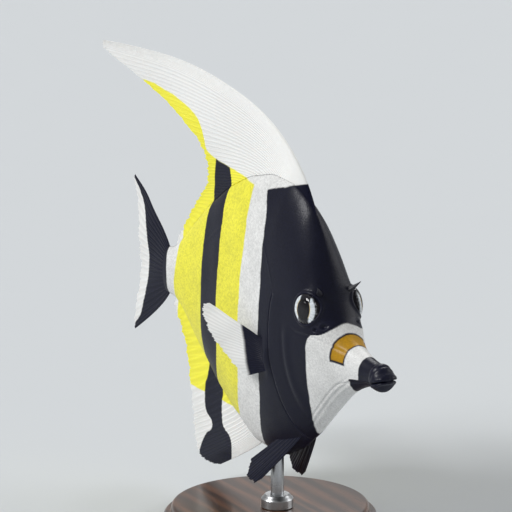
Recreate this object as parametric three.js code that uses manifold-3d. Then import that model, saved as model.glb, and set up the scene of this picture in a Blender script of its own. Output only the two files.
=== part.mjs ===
// A life-size Moorish idol (Zanclus cornutus), a deep, narrow reef fish with a long white pennant,
// held level on a plain display stand: a round base and one short rod up to the belly.
// Millimetres, +X towards the fish's snout, +Y towards its left side, +Z up. The origin is the
// centre of the base's underside, so the stand rests on Z = 0.
import * as THREE from "three";
import { mergeVertices } from "three/addons/utils/BufferGeometryUtils.js";
import Module from "manifold-3d";

const wasm = await Module();
wasm.setup();

// A place on the fish is [behind, high]: millimetres behind the tip of the snout, and above the
// level line through the mouth and the middle of the tail.
const GAP = 0.3; // between pieces that touch
const FAR = 150; // past the fish on every side
const SNOUT_X = 84; // the snout's tip in front of the base's centre
const BASE = { radius: 37, thickness: 6, bevel: 1.2 };
const FIN_CLEARANCE = 3.6; // between the lowest fin tip and the base's top
const LOWEST_FIN = 62.4; // from the level line down to the anal fin's lobe
const LEVEL_Z = BASE.thickness + FIN_CLEARANCE + LOWEST_FIN;
const ROD = { radius: 2.3, behind: 79, sides: 24 };
const COLLAR = { radius: 5.6, height: 4.5, bevel: 1 };

// The body: its outline in side view, half its width, where it is widest, and how sharp its flanks
// close: 1 is an ellipse, more a lens with a keel above and below.
const BODY_LENGTH = 158;
const BACK_LINE = [
  [0, 0.5], [0.7, 2.5], [2.6, 4.2], [5, 4.8], [7.6, 4.5], [11, 4.7], [20, 6.5], [27, 8.9], [32, 13.6],
  [36.4, 21.5], [41, 31.2], [47, 41.6], [53, 48.4], [60, 52.2], [68, 54.2], [78, 54.2], [92, 51],
  [108, 44], [124, 33.6], [138, 22], [148, 13], [153.5, 9.6], [158, 8.8],
];
const BELLY_LINE = [
  [0, -1], [0.9, -3.1], [3, -4.8], [5.6, -5.4], [8.6, -5], [12, -5.4], [18, -7.6], [26, -12], [38, -22],
  [50, -32.8], [62, -41], [76, -46], [90, -45.6], [106, -39.6], [122, -29.8], [136, -19], [147, -10.6],
  [153.5, -8.4], [158, -8.4],
];
const HALF_WIDTH = [
  [0, 1.6], [0.8, 3], [2.8, 4.2], [5.2, 4.5], [8.2, 4.1], [13, 4.3], [20, 5.1], [28, 7.2], [35, 9.7],
  [42, 11.1], [52, 12], [64, 12.4], [78, 11.9], [96, 10.2], [116, 7.7], [134, 5], [147, 3.3], [158, 2.3],
];
const WIDEST_LEVEL = [
  [0, -0.2], [14, 0], [26, 1.2], [34, 5], [42, 9], [54, 8], [72, 3], [100, 0], [158, 0.2],
];
const FLANK_POWER = [[0, 1], [24, 1.04], [40, 1.22], [60, 1.34], [100, 1.36], [140, 1.2], [158, 1.1]];
const SNOUT_TIP = 0.4; // how far the snout's rounded tip stands before its first ring
// The body's rings lie closer together towards the snout, by this power.
const BODY_MESH = { rings: 38, around: 32, crowding: 1.7 };

// The thin cuts that part the body, and what is set in it.
const STALK_START = 146.5;
const GILL_OPENING = { behind: 17.5, high: 1, radius: 46, stretch: 1.25, sweep: 1.35 };
const LID = { front: 52.5, top: 12, bottom: -22, lean: 2, raised: 0.5, depth: 2.4 };
const MOUTH = { corner: [7.6, -2.6], slope: -0.316, lipEnd: 9, chinEnd: 16.5 };
// An eye's ball is flattened by its bulge and sunk in the head, with a raised rim round it. It
// turns by this share of the way that the flank slopes there.
const EYE = { behind: 41.2, high: 16.6, radius: 5.3, ball: 5.9, bulge: 3, sunk: 1.4, rim: 0.75, turn: 0.5 };
const CORNEA = { radius: 3.4, bulge: 1.5, out: 1.9 };
const NOSTRILS = [{ behind: 33.8, high: 11.6, radius: 0.75 }, { behind: 35.9, high: 10.4, radius: 0.6 }];
const NOSTRIL_DEPTH = 1.5;
const HORN = { behind: 38.6, high: 22.2, radius: 1.5, height: 7.6, sunk: 2.2, aim: [0.74, 0.46, 0.5] };
const LIP = { radius: 0.6, out: 0.1, behind: 6.4 };

// Each fin's rays: [root, tip behind, tip high, bow]. The root is where the ray leaves the body, and
// the bow is how far it arches, as a share of its length. Rays between two rows are blended.
const DORSAL = {
  inside: 3, // how far the roots are sunk in the body
  first: 49.4,
  last: 150.5,
  pennantEnd: 70, // the ray that parts the pennant from the soft fin
  notch: 90, // the ray that ends at the bottom of the notch in the fin's edge
  rays: [
    [49.4, 203.2, 72.2, 0.31], [56, 204.2, 71, 0.26], [60, 203.4, 69.6, 0.23], [63, 189, 67, 0.21],
    [67, 171, 63.2, 0.18], [72, 152, 59, 0.16], [80, 133.4, 52, 0.14], [90, 128.8, 45, 0.11],
    [102, 129.4, 39, 0.09], [114, 133.6, 33.8, 0.07], [130, 141, 25.6, 0.05], [142, 147.4, 17.4, 0.03],
    [150.5, 151.8, 11.6, 0],
  ],
};
const ANAL = {
  inside: 3,
  first: 86.5,
  last: 149.5,
  rays: [
    [86.5, 119, -61, -0.06], [90, 125, -62.2, -0.06], [94, 131, -62.4, -0.06], [98, 136.4, -60.2, -0.05],
    [104, 138.4, -54.6, -0.05], [114, 139, -45.4, -0.05], [126, 142.8, -30.6, -0.04],
    [138, 147.6, -18.4, -0.02], [149.5, 152.2, -11, 0],
  ],
};
const TAIL = {
  root: 156,
  first: -7.6,
  last: 8.2,
  rays: [
    [-7.6, 181.2, -27.6, -0.1], [-6.6, 181, -24, -0.06], [-3.4, 178.4, -11, -0.02], [0.3, 177.4, 0.8, 0],
    [4, 178.4, 12.6, 0.02], [7.2, 181, 25.6, 0.06], [8.2, 181.2, 29.2, 0.1],
  ],
};
const PECTORAL = {
  root: 65.5,
  first: -11.4,
  last: -2.4,
  side: 10.8, // out from the middle at its root, and the flare is how far it leads out behind that
  flare: 0.466,
  rays: [
    [-11.4, 73.8, -15, 0], [-9.6, 79.4, -11.4, 0], [-7.6, 84.9, -6.2, 0], [-5.4, 89.2, -0.2, 0.02],
    [-3.4, 91.6, 5.6, 0.03], [-2.4, 89.4, 8.6, 0.04],
  ],
};
const PELVIC = {
  first: 55.5,
  last: 60,
  high: -33, // its first ray's root, and each next root lies higher by this rise
  rise: 0.8,
  side: 2.6, // out from the middle at the first root, and it leans out by this share below that
  lean: 0.3,
  rays: [
    [55.5, 74.6, -53.4, -0.06], [56.6, 78.8, -55.6, -0.06], [57.8, 82.6, -55, -0.05],
    [59, 84.6, -52.2, -0.04], [60, 84.4, -48.8, -0.02],
  ],
};
const ARCH_AT = 0.12; // how far along a ray it is pulled up or down into its arch
const MEMBRANE = 0.55; // thick, between the rays
const SPLIT_OVERLAP = 1.5; // of two pieces of one fin, before the cut that parts them
// How each fin's rays stand in its membrane: how many, and how thick at the root and at the tip.
const RAYS = {
  spine: { count: 7, root: 2, tip: 1 },
  middle: { count: 6, root: 1.4, tip: 0.75 },
  rear: { count: 17, root: 1.4, tip: 0.75 },
  anal: { count: 20, root: 1.4, tip: 0.75 },
  tail: { count: 14, root: 1.5, tip: 0.75 },
  pectoral: { count: 12, root: 1.2, tip: 0.7 },
  pelvic: { count: 6, root: 1.5, tip: 0.8 },
};

// A smooth height through [place, value] points, with no overshoot between them.
function smooth(points) {
  const slopes = points.slice(1).map(([x, y], i) => (y - points[i][1]) / (x - points[i][0]));
  const tangents = points.map((_, i) => {
    const [before, after] = [slopes[Math.max(0, i - 1)], slopes[Math.min(i, slopes.length - 1)]];
    return before * after <= 0 ? 0 : (2 * before * after) / (before + after);
  });
  return (place) => {
    const next = points.findIndex(([x]) => x > place);
    const i = (next < 0 ? points.length - 1 : Math.max(1, next)) - 1;
    const [[x0, y0], [x1, y1]] = [points[i], points[i + 1]];
    const span = x1 - x0;
    const t = THREE.MathUtils.clamp((place - x0) / span, 0, 1);
    return (
      y0 * (1 + 2 * t) * (1 - t) ** 2 + tangents[i] * span * t * (1 - t) ** 2 +
      y1 * t * t * (3 - 2 * t) + tangents[i + 1] * span * t * t * (t - 1)
    );
  };
}

const backAt = smooth(BACK_LINE);
const bellyAt = smooth(BELLY_LINE);
const halfWidthAt = smooth(HALF_WIDTH);
const widestAt = smooth(WIDEST_LEVEL);
const powerAt = smooth(FLANK_POWER);

// A place on the fish in the part's own frame, with side to its left.
const at = (behind, side, high) => new THREE.Vector3(SNOUT_X - behind, side, LEVEL_Z + high);

// Half the body's width at a place of its outline.
function flank(behind, high) {
  const level = widestAt(behind);
  const reach = high > level ? backAt(behind) - level : level - bellyAt(behind);
  const rise = THREE.MathUtils.clamp(Math.abs(high - level) / reach, 0, 1);
  return halfWidthAt(behind) * (1 - rise * rise) ** (powerAt(behind) / 2);
}

// The way an eye faces: out to the side, turned part of the way that the flank slopes round it.
function outward(behind, high, sign, step) {
  const slope = (back, up) =>
    (EYE.turn * (flank(behind + back, high + up) - flank(behind - back, high - up))) / (2 * step);
  return new THREE.Vector3(slope(step, 0), sign, -slope(0, step)).normalize();
}

// A closed geometry as a solid, its faces turned to point out.
function solidOf(geometry) {
  const bare = new THREE.BufferGeometry().setAttribute("position", geometry.getAttribute("position"));
  const merged = mergeVertices(bare.setIndex(geometry.index), 1e-3);
  const vertProperties = merged.attributes.position.array;
  const triVerts = new Uint32Array(merged.index.array);
  const build = () => new wasm.Manifold(new wasm.Mesh({ numProp: 3, vertProperties, triVerts }));
  const made = build();
  if (made.volume() > 0) return made;
  for (let i = 0; i < triVerts.length; i += 3) {
    [triVerts[i + 1], triVerts[i + 2]] = [triVerts[i + 2], triVerts[i + 1]];
  }
  return build();
}

const indexed = (positions, index) =>
  new THREE.BufferGeometry()
    .setAttribute("position", new THREE.Float32BufferAttribute(positions, 3))
    .setIndex(index);

// The whole body as one closed skin, with all of its surface moved out by grow.
function bodySolid(grow = 0) {
  const { rings, around, crowding } = BODY_MESH;
  const positions = [];
  for (let ring = 0; ring <= rings; ring++) {
    const behind = BODY_LENGTH * (ring / rings) ** crowding;
    const level = widestAt(behind);
    const beyond = ring === 0 ? -grow : ring === rings ? grow : 0;
    for (let k = 0; k < around; k++) {
      const [rise, run] = [Math.sin((2 * Math.PI * k) / around), Math.cos((2 * Math.PI * k) / around)];
      const reach = rise > 0 ? backAt(behind) - level : level - bellyAt(behind);
      const side = Math.sign(run) * Math.abs(run) ** powerAt(behind) * (halfWidthAt(behind) + grow);
      positions.push(...at(behind + beyond, side, level + rise * (reach + grow)).toArray());
    }
  }
  const index = [];
  for (let a = 0; a < rings * around; a++) {
    const b = a % around === around - 1 ? a + 1 - around : a + 1;
    index.push(a, b, b + around, a, b + around, a + around);
  }
  const ends = [[0, -SNOUT_TIP - grow], [rings, grow]];
  for (const [ring, beyond] of ends) {
    const behind = BODY_LENGTH * (ring / rings);
    const middle = positions.length / 3;
    positions.push(...at(behind + beyond, 0, widestAt(behind)).toArray());
    for (let k = 0; k < around; k++) {
      const pair = [ring * around + k, ring * around + ((k + 1) % around)];
      index.push(...(ring ? pair.reverse() : pair).reverse(), middle);
    }
  }
  return solidOf(indexed(positions, index));
}

// What a side-view outline of places covers, from one side of the fish to the other.
function sideSlab(outline, from = -FAR, to = FAR) {
  const corners = outline.map(([behind, high]) => new THREE.Vector2(SNOUT_X - behind, LEVEL_Z + high));
  const shape = new THREE.Shape(corners);
  const slab = new THREE.ExtrudeGeometry(shape, { depth: to - from, bevelEnabled: false });
  return solidOf(slab.rotateX(Math.PI / 2).translate(0, to, 0));
}

// A fin's blade: its rays run from its root to its edge, in side view, as ridges with thin membrane
// between them, and it leans to one side by sway. Both faces are split alike, and a rim joins them.
function blade({ ray, from, to, ridges, rows, sway = () => 0 }) {
  const columns = 2 * ridges.count;
  const grid = new THREE.PlaneGeometry(1, 1, columns, rows);
  const uv = grid.getAttribute("uv");
  const positions = new Float32Array(uv.count * 6);
  for (let i = 0; i < uv.count; i++) {
    const along = uv.getY(i);
    const [behind, high] = ray(from + (to - from) * uv.getX(i), along);
    const side = sway(behind, high);
    const onRay = (i % (columns + 1)) % 2 === 1;
    const half = (onRay ? THREE.MathUtils.lerp(ridges.root, ridges.tip, along) : MEMBRANE) / 2;
    at(behind, side + half, high).toArray(positions, i * 3);
    at(behind, side - half, high).toArray(positions, (uv.count + i) * 3);
  }
  const index = [];
  for (let i = 0; i < grid.index.count; i += 3) {
    const [a, b, c] = [0, 1, 2].map((k) => grid.index.getX(i + k));
    index.push(a, b, c, uv.count + a, uv.count + c, uv.count + b);
  }
  const corner = (row, column) => row * (columns + 1) + column;
  const rim = [];
  for (let i = 0; i < columns; i++) rim.push(corner(0, i));
  for (let i = 0; i < rows; i++) rim.push(corner(i, columns));
  for (let i = columns; i > 0; i--) rim.push(corner(rows, i));
  for (let i = rows; i > 0; i--) rim.push(corner(i, 0));
  rim.forEach((a, i) => {
    const b = rim[(i + 1) % rim.length];
    index.push(a, b, uv.count + a, b, uv.count + b, uv.count + a);
  });
  return solidOf(indexed(positions, index));
}

// The place along a fin's ray: root names the ray, and along runs from 0 at its root to 1 at its tip.
function rayOf(rows, rootPlace) {
  const column = (i) => smooth(rows.map((row) => [row[0], row[i]]));
  const [behindAt, highAt, bowAt] = [column(1), column(2), column(3)];
  return (root, along) => {
    const start = new THREE.Vector2(...rootPlace(root));
    const end = new THREE.Vector2(behindAt(root), highAt(root));
    const bow = new THREE.Vector2(0, bowAt(root) * start.distanceTo(end));
    const bend = start.clone().lerp(end, ARCH_AT).add(bow);
    return new THREE.QuadraticBezierCurve(start, bend, end).getPoint(along).toArray();
  };
}

// What lies above a ray of the dorsal fin, or below it, parted by half the gap.
function besideRay(ray, root, above) {
  const steps = 8;
  const places = Array.from({ length: steps + 1 }, (_, i) => ray(root, i / steps));
  const shift = ((above ? 1 : -1) * GAP) / 2;
  const line = places.map(([behind, high], i) => {
    const [next, last] = [places[Math.min(steps, i + 1)], places[Math.max(0, i - 1)]];
    const normal = new THREE.Vector2(last[1] - next[1], next[0] - last[0]).setLength(shift);
    return [behind + normal.x, high + normal.y];
  });
  const [start, before, end] = [line[0], line.at(-2), line.at(-1)];
  const past = new THREE.Vector2(end[0] - before[0], end[1] - before[1]).setLength(FAR);
  const foot = [start[0], -FAR];
  const corner = above ? [-FAR, -FAR] : [end[0] + past.x, -FAR];
  const top = above ? [[end[0] + past.x, 2 * FAR], [-FAR, 2 * FAR]] : [];
  return sideSlab([corner, foot, ...line, [end[0] + past.x, end[1] + past.y], ...top]);
}

// The line behind the head, an arc from the nape to the throat.
function gillLine(shift) {
  const { behind, high, stretch, sweep } = GILL_OPENING;
  const radius = GILL_OPENING.radius + shift;
  const arc = new THREE.EllipseCurve(behind, high, radius, radius * stretch, -sweep, sweep);
  return arc.getPoints(16).map((place) => place.toArray());
}

const object = new THREE.Group();
const finish = (color, roughness, metalness = 0) =>
  new THREE.MeshStandardMaterial({ color, roughness, metalness });
const FINISHES = {
  black: finish(0x1a1b2b, 0.5),
  white: finish(0xe3e3e3, 0.5),
  yellow: finish(0xf2ee4e, 0.5),
  eye: finish(0x1c1514, 0.08),
  base: finish(0x2b2c30, 0.4, 0.2),
  steel: finish(0xb9bcc0, 0.3, 1),
};

// Adds one node, keeping only its largest closed piece.
function add(name, solid, material) {
  const kept = solid.decompose().reduce((best, piece) => (piece.volume() > best.volume() ? piece : best));
  const { numProp, numVert, vertProperties, triVerts } = kept.getMesh();
  const positions = [];
  for (let i = 0; i < numVert * numProp; i += numProp) positions.push(...vertProperties.subarray(i, i + 3));
  const geometry = indexed(positions, [...triVerts]);
  geometry.computeVertexNormals();
  const mesh = new THREE.Mesh(geometry, material);
  mesh.name = name;
  object.add(mesh);
}

const body = bodySolid();
const clearOfBody = bodySolid(GAP);

function addTrunk() {
  const [trunkEnd, stalkStart] = [STALK_START - GAP / 2, STALK_START + GAP / 2];
  const trunk = sideSlab([...gillLine(GAP / 2), [trunkEnd, FAR], [trunkEnd, -FAR]]);
  const stalk = sideSlab([[stalkStart, -FAR], [stalkStart, FAR], [FAR * 2, FAR], [FAR * 2, -FAR]]);
  add("torso", body.intersect(trunk), FINISHES.white);
  add("tail_stalk", body.intersect(stalk), FINISHES.white);
}

// The mouth's line slopes down from the snout's tip to its corner, and parts the jaws.
function jawOutline(upper, grow) {
  const [behind, high] = MOUTH.corner;
  const shift = (upper ? 1 : -1) * (GAP / 2 - grow);
  const front = -5; // before the snout's tip
  const line = [[front, high + MOUTH.slope * (front - behind) + shift], [behind + grow, high + shift]];
  const [end, hinge, far] = upper ? [MOUTH.lipEnd + grow, 1, 12] : [MOUTH.chinEnd + grow, -5, -14];
  return [...line, [end, hinge], [end, far], [front, far]];
}

// A lip: a roll along the mouth's edge, from one corner round the snout's tip to the other.
function lip(upper) {
  const [behind, high] = MOUTH.corner;
  const clear = (upper ? 1 : -1) * (LIP.radius + GAP / 2);
  const edge = (place) => high + MOUTH.slope * (place - behind) + clear;
  const places = [1, 0.6, 0.3, 0.1].map((share) => share * LIP.behind);
  const alongSide = (sign) =>
    places.map((place) => at(place, sign * (flank(place, edge(place)) + LIP.out), edge(place)));
  const tip = at(-LIP.out, 0, edge(0));
  const path = new THREE.CatmullRomCurve3([...alongSide(-1), tip, ...alongSide(1).reverse()]);
  const section = new THREE.Shape().absarc(0, 0, LIP.radius, 0, 2 * Math.PI);
  return solidOf(new THREE.ExtrudeGeometry(section, { steps: 18, curveSegments: 4, extrudePath: path }));
}

// A gill cover's outline in side view, with its rear edge along the line behind the head.
function lidOutline(grow, behindShift) {
  const [bottom, top] = [LID.bottom - grow, LID.top + grow];
  const edge = gillLine(behindShift).filter(([, high]) => high < top && high > bottom);
  return [[LID.front + LID.lean - grow, bottom], ...edge, [LID.front - grow, top]];
}

// Turns what is made round +Y to face as the eye does, and sets it at a depth out from the flank.
function eyePlace(sign) {
  const out = outward(EYE.behind, EYE.high, sign, EYE.radius);
  const turn = new THREE.Quaternion().setFromUnitVectors(new THREE.Vector3(0, 1, 0), out);
  const centre = at(EYE.behind, sign * flank(EYE.behind, EYE.high), EYE.high);
  return (geometry, depth) => {
    const place = centre.clone().addScaledVector(out, depth);
    return solidOf(geometry.applyQuaternion(turn).translate(...place.toArray()));
  };
}

function eyeBall(sign, grow = 0) {
  const [radius, bulge] = [EYE.ball + grow, EYE.bulge + grow];
  return eyePlace(sign)(new THREE.SphereGeometry(1, 24, 14).scale(radius, bulge, radius), -EYE.sunk);
}

function addHead() {
  const front = sideSlab([[-FAR, -FAR], ...gillLine(-GAP / 2), [-FAR, FAR]]);
  const inner = bodySolid(-LID.depth);
  const lidBed = bodySolid(-LID.depth - GAP);
  const raised = bodySolid(LID.raised);
  let head = body.intersect(front);
  for (const upper of [true, false]) {
    const jaw = body.add(lip(upper)).intersect(sideSlab(jawOutline(upper, 0)));
    add(upper ? "upper_jaw" : "lower_jaw", jaw, FINISHES.black);
    head = head.subtract(sideSlab(jawOutline(upper, GAP)));
  }
  for (const [sign, side] of [[-1, "right"], [1, "left"]]) {
    const half = (outline) => (sign > 0 ? sideSlab(outline, 1, FAR) : sideSlab(outline, -FAR, -1));
    const lid = raised.intersect(half(lidOutline(0, -GAP / 2))).subtract(inner);
    add("gill_cover_" + side, lid, FINISHES.black);
    head = head.subtract(half(lidOutline(GAP, 1)).subtract(lidBed));
    const rim = new THREE.TorusGeometry(EYE.radius + EYE.rim * 0.6, EYE.rim, 8, 28).rotateX(Math.PI / 2);
    head = head.add(eyePlace(sign)(rim, 0)).subtract(eyeBall(sign, GAP));
    for (const { behind, high, radius } of NOSTRILS) {
      const pit = new THREE.CylinderGeometry(radius, radius, 2 * NOSTRIL_DEPTH, 10);
      const place = at(behind, sign * flank(behind, high), high);
      head = head.subtract(solidOf(pit.translate(...place.toArray())));
    }
    const cornea = new THREE.SphereGeometry(1, 20, 12).scale(CORNEA.radius, CORNEA.bulge, CORNEA.radius);
    add("eye_" + side, eyeBall(sign).add(eyePlace(sign)(cornea, CORNEA.out - EYE.sunk)), FINISHES.eye);
    addHorn(sign, side);
  }
  add("head", head, FINISHES.black);
}

function addHorn(sign, side) {
  const { height, sunk, radius } = HORN;
  const aim = new THREE.Vector3(HORN.aim[0], sign * HORN.aim[1], HORN.aim[2]).normalize();
  const cone = new THREE.ConeGeometry(radius, height, 10).translate(0, height / 2 - sunk, 0);
  cone.applyQuaternion(new THREE.Quaternion().setFromUnitVectors(new THREE.Vector3(0, 1, 0), aim));
  const root = at(HORN.behind, sign * flank(HORN.behind, HORN.high), HORN.high);
  add("horn_" + side, solidOf(cone.translate(...root.toArray())).subtract(clearOfBody), FINISHES.black);
}

// The dorsal fin is parted along two of its rays, into the pennant, the middle and the rear.
function addDorsalFin() {
  const { first, pennantEnd, notch, last } = DORSAL;
  const ray = rayOf(DORSAL.rays, (root) => [root, backAt(root) - DORSAL.inside]);
  const stretch = (from, to, ridges, rows) =>
    blade({ ray, from, to, ridges, rows }).subtract(clearOfBody);
  const pennant = stretch(first, pennantEnd + SPLIT_OVERLAP, RAYS.spine, 18);
  const middle = stretch(pennantEnd - SPLIT_OVERLAP, notch + SPLIT_OVERLAP, RAYS.middle, 8);
  const rear = stretch(notch - SPLIT_OVERLAP, last, RAYS.rear, 5);
  const aboveNotch = besideRay(ray, notch, true);
  const belowPennant = besideRay(ray, pennantEnd, false);
  add("dorsal_pennant", pennant.intersect(besideRay(ray, pennantEnd, true)), FINISHES.white);
  add("dorsal_fin_middle", middle.intersect(belowPennant).intersect(aboveNotch), FINISHES.yellow);
  add("dorsal_fin_rear", rear.intersect(besideRay(ray, notch, false)), FINISHES.yellow);
}

function addAnalFin() {
  const ray = rayOf(ANAL.rays, (root) => [root, bellyAt(root) + ANAL.inside]);
  const fin = blade({ ray, from: ANAL.first, to: ANAL.last, ridges: RAYS.anal, rows: 5 });
  add("anal_fin", fin.subtract(clearOfBody), FINISHES.white);
}

function addTailFin() {
  const ray = rayOf(TAIL.rays, (root) => [TAIL.root, root]);
  const fin = blade({ ray, from: TAIL.first, to: TAIL.last, ridges: RAYS.tail, rows: 5 });
  add("tail_fin", fin.subtract(clearOfBody), FINISHES.black);
}

function addPectoralFin(sign, side) {
  const ray = rayOf(PECTORAL.rays, (root) => [PECTORAL.root, root]);
  const sway = (behind) => sign * (PECTORAL.side + (behind - PECTORAL.root) * PECTORAL.flare);
  const [from, to] = [PECTORAL.first, PECTORAL.last];
  const fin = blade({ ray, from, to, ridges: RAYS.pectoral, rows: 5, sway });
  add("pectoral_fin_" + side, fin.subtract(clearOfBody), FINISHES.white);
}

function addPelvicFin(sign, side) {
  const { first, last } = PELVIC;
  const ray = rayOf(PELVIC.rays, (root) => [root, PELVIC.high + PELVIC.rise * (root - first)]);
  const sway = (_, high) => sign * (PELVIC.side + PELVIC.lean * (PELVIC.high - high));
  const fin = blade({ ray, from: first, to: last, ridges: RAYS.pelvic, rows: 5, sway });
  add("pelvic_fin_" + side, fin.subtract(clearOfBody), FINISHES.black);
}

// A turned piece from its profile of [radius, height] points, stood over a place.
function turned(profile, sides, x, low) {
  const outline = profile.map(([radius, high]) => new THREE.Vector2(radius, high));
  const lathe = new THREE.LatheGeometry(outline, sides);
  return solidOf(lathe.rotateX(Math.PI / 2).translate(x, 0, low));
}

function addStand() {
  const { radius, thickness, bevel } = BASE;
  const edge = [[radius, 0], [radius, thickness - bevel], [radius - bevel, thickness]];
  add("stand_base", turned([[0, 0], ...edge, [0, thickness]], 48, 0, 0), FINISHES.base);
  const [bore, outer, top] = [ROD.radius + GAP, COLLAR.radius, COLLAR.height];
  const rim = [[outer, 0], [outer, top - COLLAR.bevel], [outer - COLLAR.bevel, top]];
  const ring = [[bore, 0], ...rim, [bore, top], [bore, 0]];
  const foot = thickness + GAP;
  const x = SNOUT_X - ROD.behind;
  add("stand_collar", turned(ring, 32, x, foot), FINISHES.steel);
  const rod = new THREE.CylinderGeometry(ROD.radius, ROD.radius, LEVEL_Z - foot, ROD.sides);
  const upright = rod.rotateX(Math.PI / 2).translate(x, 0, (foot + LEVEL_Z) / 2);
  const cut = solidOf(upright).subtract(clearOfBody);
  add("stand_rod", cut, FINISHES.steel);
}

addTrunk();
addHead();
addDorsalFin();
addAnalFin();
addTailFin();
for (const [sign, side] of [[-1, "right"], [1, "left"]]) {
  addPectoralFin(sign, side);
  addPelvicFin(sign, side);
}
addStand();

export default object;
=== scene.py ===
# A life-size Moorish idol on a plain display stand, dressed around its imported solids. Metres, +X towards the
# snout, +Y towards the fish's left side, +Z up, with the origin under the middle of the stand's base.
import logging
import math
from collections.abc import Callable
from dataclasses import dataclass, field
from enum import Enum

import bpy
import numpy as np
from mathutils import Matrix, Vector


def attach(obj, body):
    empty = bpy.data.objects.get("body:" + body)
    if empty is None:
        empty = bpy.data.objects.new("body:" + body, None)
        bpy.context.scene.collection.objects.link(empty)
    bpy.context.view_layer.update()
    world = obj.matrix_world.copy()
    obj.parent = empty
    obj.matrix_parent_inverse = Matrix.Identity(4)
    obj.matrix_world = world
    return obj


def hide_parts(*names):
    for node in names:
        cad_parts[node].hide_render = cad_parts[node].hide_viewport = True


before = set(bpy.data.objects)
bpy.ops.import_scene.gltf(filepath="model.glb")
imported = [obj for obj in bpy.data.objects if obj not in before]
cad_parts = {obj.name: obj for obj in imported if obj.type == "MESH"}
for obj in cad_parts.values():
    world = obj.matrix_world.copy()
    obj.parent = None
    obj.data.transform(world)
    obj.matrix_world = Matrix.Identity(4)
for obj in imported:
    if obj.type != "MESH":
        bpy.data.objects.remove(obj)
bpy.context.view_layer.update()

MM = 0.001
SEED = 20
Array = np.ndarray
Point = tuple[float, float]
Socket = bpy.types.NodeSocket
Tree = bpy.types.NodeTree
Material = bpy.types.Material
Piece = bpy.types.Object
log = logging.getLogger("moorish_idol")


class Side(Enum):
    """One side of the fish, with the sign of its y."""

    RIGHT = -1
    LEFT = 1

    @property
    def word(self) -> str:
        """The side's name, as the nodes have it."""
        return self.name.lower()


class SmoothLine:
    """A smooth value along a place, through a few points and with no overshoot between them."""

    def __init__(self, *points: Point) -> None:
        """Keeps the points and works out the slope at each.

        Args:
            points: pairs of place and value, in order of place.
        """
        self.places = np.array([point[0] for point in points], float)
        self.values = np.array([point[1] for point in points], float)
        slopes = np.diff(self.values) / np.diff(self.places)
        before = np.concatenate([slopes[:1], slopes])
        after = np.concatenate([slopes, slopes[-1:]])
        same_way = before * after > 0
        total = np.where(same_way, before + after, 1.0)
        self.tangents = np.where(same_way, 2 * before * after / total, 0.0)

    def __call__(self, place: Array | float) -> Array:
        """The value at each place.

        Args:
            place: one place or an array of places; those past an end take the end's value.

        Returns:
            The values, in the shape of the places.
        """
        place = np.clip(place, self.places[0], self.places[-1])
        i = np.clip(np.searchsorted(self.places, place, side="right") - 1, 0, len(self.places) - 2)
        span = self.places[i + 1] - self.places[i]
        t = (place - self.places[i]) / span
        start = self.values[i] * (1 + 2 * t) * (1 - t) ** 2 + self.tangents[i] * span * t * (1 - t) ** 2
        end = self.values[i + 1] * t * t * (3 - 2 * t) + self.tangents[i + 1] * span * t * t * (t - 1)
        return start + end


def smoothstep(low: float, high: float, value: Array) -> Array:
    """A soft step from 0 at low to 1 at high."""
    share = np.clip((value - low) / (high - low), 0.0, 1.0)
    return share * share * (3 - 2 * share)


def ridge(distance: Array, width: float) -> Array:
    """A round ridge of height 1 that falls away within its width."""
    return np.exp(-((distance / width) ** 2))


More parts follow.
